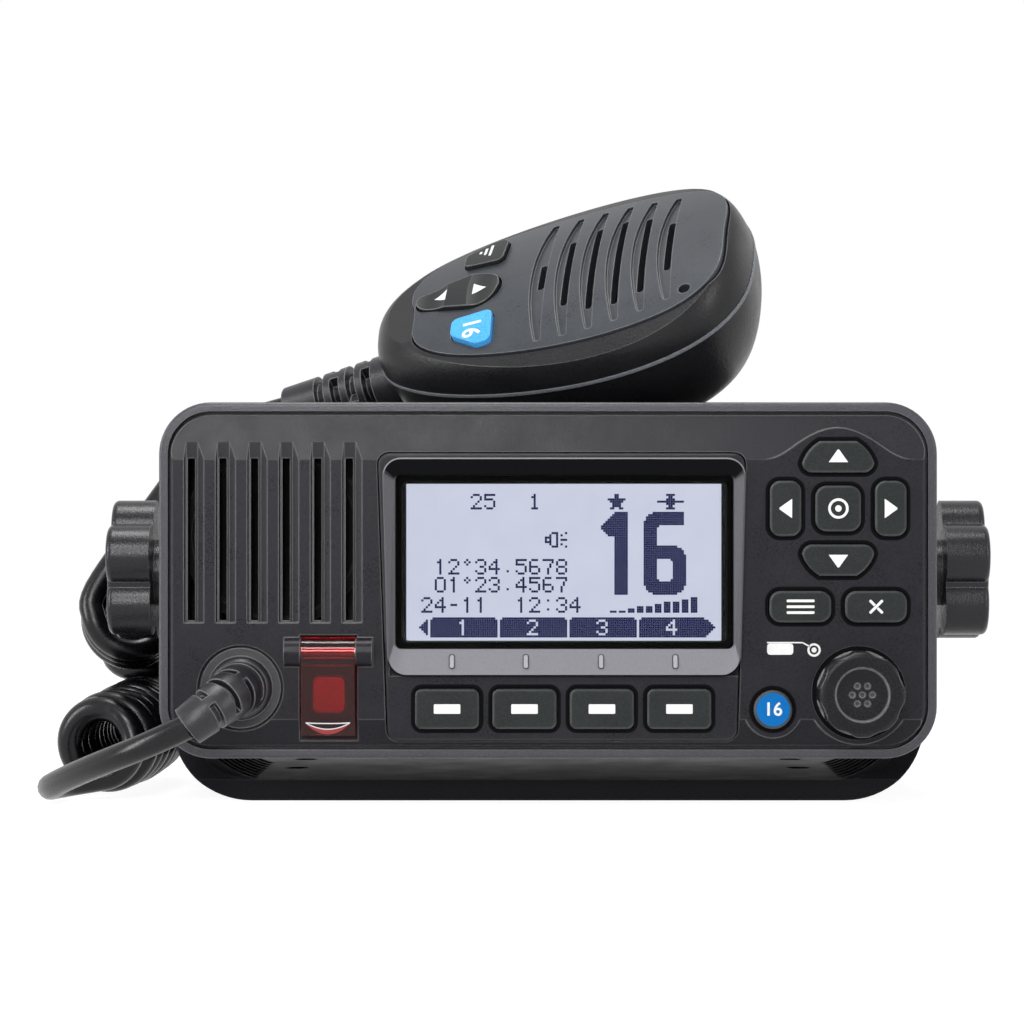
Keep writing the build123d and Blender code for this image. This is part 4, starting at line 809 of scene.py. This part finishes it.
def make_painted_shade_ring(name, carrier, cap_depth=CAP_DEPTH):
    """Ring of shadow in the seat round a key, laid on the node that the key comes through."""
    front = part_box(name)[0].y + cap_depth * MM
    flat = [Vector((vertex.co.x, vertex.co.z)) for vertex in nodes[name].data.vertices
            if vertex.co.y < front]
    hull = [flat[index] for index in convex_hull_2d(flat)]
    outline = [hull[0]]
    for point in hull[1:]:
        if (point - outline[-1]).length > SAME_PLACE * MM:
            outline.append(point)
    inner, outer = widened(outline, SHADE_RING_START), widened(outline, SHADE_RING_END)
    shape = bmesh.new()
    rows = []
    for near, far in zip(inner, outer):
        start = Vector((far.x, front_y - RAY_START * MM, far.y))
        hit = nodes[carrier].ray_cast(start, Vector((0, 1, 0)))[1]
        levels = (hit.y + SHADE_RING_SUNK * MM, hit.y - SHADE_RING_RISE * MM)
        rows.append([shape.verts.new((place.x, y, place.y)) for place, y in
                     ((near, levels[0]), (near, levels[1]), (far, levels[1]), (far, levels[0]))])
    for here, after in zip(rows, rows[1:] + rows[:1]):
        add_band(shape, here, after)
    # Black ring: painted shade in the gap round the key.
    add_piece("well_" + name, mesh_from("well_" + name, shape), BLACK_PRINT_AND_SHADE, "radio")


for key in ("up_key", "down_key", "left_key", "right_key", "enter_key", "lower_left_key", "lower_right_key",
            "blue_key"):
    make_painted_shade_ring(key, "fascia")
for index in range(SOFT_KEYS):
    make_painted_shade_ring(f"soft_key_{index + 1}", "display_surround")
make_painted_shade_ring("volume_knob", "fascia", KNOB_DEPTH)

# ---------------------------------------------------------------- handset marks
HANDSET_ORIGIN = Vector((4.2, -30.0, 119.4)) * MM
TO_HEAD = Vector((0.92992, -0.29856, 0.21474))
ACROSS = Vector((0.10275, 0.77157, 0.62779))
OUTWARD = Vector((-0.35312, -0.56173, 0.74817))
CROWN_RADIUS = 120.0
CROWN_TOP = 11.3                      # crest of the face plate above the seam
KEY_RISE = 1.2
MARK_LIFT = 0.02                      # of a mark's back above its key
KEYS_ALONG, KEYS_ACROSS = -18.6, 16.2
POWER_BAR_HEIGHTS = (1.3, -0.1, -1.5)


def handset_matrix(along, across, height):
    """Frame on the handset's face whose y points to the head and whose z points outwards."""
    columns = Matrix((-ACROSS, TO_HEAD, OUTWARD)).transposed().to_4x4()
    origin = HANDSET_ORIGIN + (TO_HEAD * along + ACROSS * across + OUTWARD * height) * MM
    return Matrix.Translation(origin) @ columns


def crown_matrix(along, across, rise):
    """The same at a place on the crowned plate, tilted with it."""
    lean = math.asin(across / CROWN_RADIUS)
    height = CROWN_TOP + rise - CROWN_RADIUS * (1 - math.cos(lean))
    return handset_matrix(along, across, height) @ Matrix.Rotation(-lean, 4, "Y")


SCOOP_RADIUS = 11.0
SCOOP_HEIGHT = 22.7                   # of the scoops' centre lines above the seam
ARROW_WIDTH, ARROW_LENGTH = 4.4, 3.3


def scooped_arrow(name, along, scoop, to_head, slices=8):
    """Arrowhead laid into the rocker's hollow, in strips that follow the hollow's curve."""
    shape = bmesh.new()
    rows = []
    for index in range(slices + 1):
        share = index / slices
        place = along + to_head * ARROW_LENGTH * (share - 0.4)
        height = SCOOP_HEIGHT - math.sqrt(SCOOP_RADIUS ** 2 - (place - scoop) ** 2) + MARK_LIFT
        half = max(ARROW_WIDTH / 2 * (1 - share), 0.06)
        corners = [(side * half, height + rise) for rise in (0.0, INK) for side in (-1, 1)]
        made = [shape.verts.new(HANDSET_ORIGIN + (TO_HEAD * place + ACROSS * across + OUTWARD * up) * MM)
                for across, up in corners]
        rows.append([made[index] for index in (0, 1, 3, 2)])
    for here, after in zip(rows, rows[1:]):
        add_band(shape, here, after)
    shape.faces.new(rows[0])
    shape.faces.new(rows[-1][::-1])
    return mesh_from(name, shape)


def make_handset_marks():
    """Number, bars and arrows on the handset's keys."""
    place = crown_matrix(KEYS_ALONG, -KEYS_ACROSS, KEY_RISE + MARK_LIFT)
    mesh = digits_mesh("handset_number", "16", 6.6, place, weight_mm=0.12)
    add_piece("handset_number", mesh, WHITE_PRINT, "hand_blue")
    bars = [rounded_outline(-0.6, height, 5.6 - 2.2 * rank, 0.7, 0.2)
            for rank, height in enumerate(POWER_BAR_HEIGHTS)]
    mesh = prism_mesh("power_mark", bars, crown_matrix(KEYS_ALONG, KEYS_ACROSS, KEY_RISE + MARK_LIFT), INK)
    add_piece("power_mark", mesh, WHITE_PRINT, "hand_power")
    for name, along, scoop, to_head in (("up", -18.5, -17.2, 1), ("down", -28.2, -30.8, -1)):
        mesh = scooped_arrow("rocker_" + name + "_mark", along, scoop, to_head)
        add_piece("rocker_" + name + "_mark", mesh, WHITE_PRINT, "rocker")


make_handset_marks()

# ---------------------------------------------------------------- cover's lip and line
COVER_U, LIP_V = -50.6, -32.8
LIP_HALF, LINE_DIP, LIP_DIP, LIP_LINE = 5.1, 1.5, 2.6, 0.26
LINE_RISE, LIP_RISE = 0.06, 0.10
LINE_TOP_DIP = 0.15                   # dip of the crescent's upper line
LAID_SUNK = 0.05                      # how deep a laid mark's back is in its carrier
LIP_STEPS, LIP_ROWS = 12, 3           # slices of half the lip's width, and rows of its height


def dip(x, depth):
    """Height of a shallow arc that is level at its ends and lowest in the middle."""
    return -depth * (1 - (x / LIP_HALF) ** 2)


def laid_mesh(name, quads, node, u, v, rise):
    """Thin mark whose quads lie on the front of a CAD node."""
    carrier = nodes[node]
    shape = bmesh.new()
    for quad in quads:
        low, high = [], []
        for x, y in quad:
            start = panel(u + x, v + y, -RAY_START)
            hit = carrier.ray_cast(start, Vector((0, 1, 0)))[1]
            low.append(shape.verts.new(hit + Vector((0, LAID_SUNK * MM, 0))))
            high.append(shape.verts.new(hit - Vector((0, rise * MM, 0))))
        add_prism(shape, low, high)
    return mesh_from(name, shape)


def make_lip():
    """Raised lip at the cover's foot, under a pale line in the shape of a thin crescent."""
    steps = [LIP_HALF * (index / LIP_STEPS - 1) for index in range(2 * LIP_STEPS + 1)]
    line, lip = [], []
    for here, after in zip(steps, steps[1:]):
        for depth in (LINE_TOP_DIP, LINE_DIP):
            low_here, low_after = dip(here, depth), dip(after, depth)
            line.append([(here, low_here), (after, low_after), (after, low_after + LIP_LINE),
                         (here, low_here + LIP_LINE)])
        reach = LIP_DIP - LINE_DIP
        for index in range(LIP_ROWS):
            upper, lower = LINE_DIP + reach * index / LIP_ROWS, LINE_DIP + reach * (index + 1) / LIP_ROWS
            lip.append([(here, dip(here, lower)), (after, dip(after, lower)),
                        (after, dip(after, upper)), (here, dip(here, upper))])
    mesh = laid_mesh("lip_line", line, "distress_cover", COVER_U, LIP_V, LINE_RISE)
    add_piece("lip_line", mesh, WHITE_PRINT, "cover")
    mesh = laid_mesh("lip", lip, "distress_cover", COVER_U, LIP_V, LIP_RISE)
    add_piece("lip", mesh, MATERIALS["button_red"], "cover")


make_lip()


# ---------------------------------------------------------------- stage, light and camera
def background_ray(tree):
    """1 for rays that show the background: straight from the camera, mirrored or through glass."""
    path = tree.nodes.new("ShaderNodeLightPath")
    total = path.outputs["Is Camera Ray"]
    for name in ("Is Glossy Ray", "Is Transmission Ray"):
        either = tree.nodes.new("ShaderNodeMath")
        either.operation = "MAXIMUM"
        tree.links.new(total, either.inputs[0])
        tree.links.new(path.outputs[name], either.inputs[1])
        total = either.outputs[0]
    return total


FILL_COLOUR, FILL_STRENGTH = (0.95, 0.97, 1.0, 1), 0.14
FLOOR_HALF = 1.7                      # half the floor's side
PAPER_GREY = 0.86
GLOW_STRENGTH, GLOW_SHARE = 1.33, 0.70    # of the floor as the camera sees it


def make_world():
    """White where the camera sees it, and a faint cool fill for the object."""
    world = bpy.data.worlds.new("studio")
    bpy.context.scene.world = world
    world.use_nodes = True
    tree = world.node_tree
    tree.nodes.clear()
    shown = tree.nodes.new("ShaderNodeBackground")
    shown.inputs["Color"].default_value = (1, 1, 1, 1)
    shown.inputs["Strength"].default_value = 1.0
    fill = tree.nodes.new("ShaderNodeBackground")
    fill.inputs["Color"].default_value = FILL_COLOUR
    fill.inputs["Strength"].default_value = FILL_STRENGTH
    mix = tree.nodes.new("ShaderNodeMixShader")
    output = tree.nodes.new("ShaderNodeOutputWorld")
    tree.links.new(background_ray(tree), mix.inputs[0])
    tree.links.new(fill.outputs[0], mix.inputs[1])
    tree.links.new(shown.outputs[0], mix.inputs[2])
    tree.links.new(mix.outputs[0], output.inputs["Surface"])


def make_floor():
    """Pale floor that keeps the object's shadow."""
    half = FLOOR_HALF
    mesh = bpy.data.meshes.new("floor")
    corners = [(-half, -half, 0), (half, -half, 0), (half, half, 0), (-half, half, 0)]
    mesh.from_pydata(corners, [], [(0, 1, 2, 3)])
    floor = bpy.data.objects.new("floor", mesh)
    bpy.context.scene.collection.objects.link(floor)
    material = bpy.data.materials.new("floor")
    material.use_nodes = True
    tree = material.node_tree
    tree.nodes.clear()
    paper = tree.nodes.new("ShaderNodeBsdfDiffuse")
    paper.inputs["Color"].default_value = (PAPER_GREY, PAPER_GREY, PAPER_GREY, 1)
    glow = tree.nodes.new("ShaderNodeEmission")
    glow.inputs["Strength"].default_value = GLOW_STRENGTH
    share = tree.nodes.new("ShaderNodeMath")
    share.operation = "MULTIPLY"
    share.inputs[1].default_value = GLOW_SHARE
    mix = tree.nodes.new("ShaderNodeMixShader")
    output = tree.nodes.new("ShaderNodeOutputMaterial")
    tree.links.new(background_ray(tree), share.inputs[0])
    tree.links.new(share.outputs[0], mix.inputs[0])
    tree.links.new(paper.outputs[0], mix.inputs[1])
    tree.links.new(glow.outputs[0], mix.inputs[2])
    tree.links.new(mix.outputs[0], output.inputs["Surface"])
    mesh.materials.append(material)


# Name, place, width, height and power.
SOFTBOXES = [
    ("key", (-0.22, -1.35, 0.96), 0.6, 0.35, 9.0),
    ("front", (-0.18, -1.4, 0.37), 0.45, 0.22, 5.5),
    ("left_strip", (-1.35, -0.55, 0.35), 0.3, 0.9, 13.0),
    ("right_strip", (1.25, -0.75, 0.45), 0.16, 0.9, 5.0),
    ("top", (-0.1, -0.1, 1.6), 0.8, 0.45, 16.0),
]
LIT_PLACE = (0.0, -0.03, 0.06)        # what the softboxes point at


def softbox(name, place, width, height, power):
    light = bpy.data.lights.new(name, "AREA")
    light.shape = "RECTANGLE"
    light.size = width
    light.size_y = height
    light.energy = power
    holder = bpy.data.objects.new(name, light)
    holder.location = place
    holder.rotation_euler = (Vector(LIT_PLACE) - Vector(place)).to_track_quat("-Z", "Y").to_euler()
    bpy.context.scene.collection.objects.link(holder)


CAMERA_Y = -0.833
EYE_Z = 0.066
FOCAL_PX = 3255.0
FRAME_PX = 1024.0
SENSOR_MM = 36.0
HORIZON_PX = 525.0                    # row of the photograph at the eye's height
AXIS_PX = 548.0                       # column of the photograph at X = 0


def make_camera():
    camera = bpy.data.cameras.new("camera")
    camera.sensor_width = SENSOR_MM
    camera.lens = FOCAL_PX / FRAME_PX * SENSOR_MM
    camera.shift_x = (FRAME_PX / 2 - AXIS_PX) / FRAME_PX
    camera.shift_y = (HORIZON_PX - FRAME_PX / 2) / FRAME_PX
    camera.clip_end = 50.0
    holder = bpy.data.objects.new("camera", camera)
    holder.location = (0.0, CAMERA_Y, EYE_Z)
    holder.rotation_euler = (math.pi / 2, 0, 0)
    bpy.context.scene.collection.objects.link(holder)
    bpy.context.scene.camera = holder


make_world()
make_floor()
for lamp in SOFTBOXES:
    softbox(*lamp)
make_camera()

bpy.context.scene.view_settings.view_transform = "Standard"
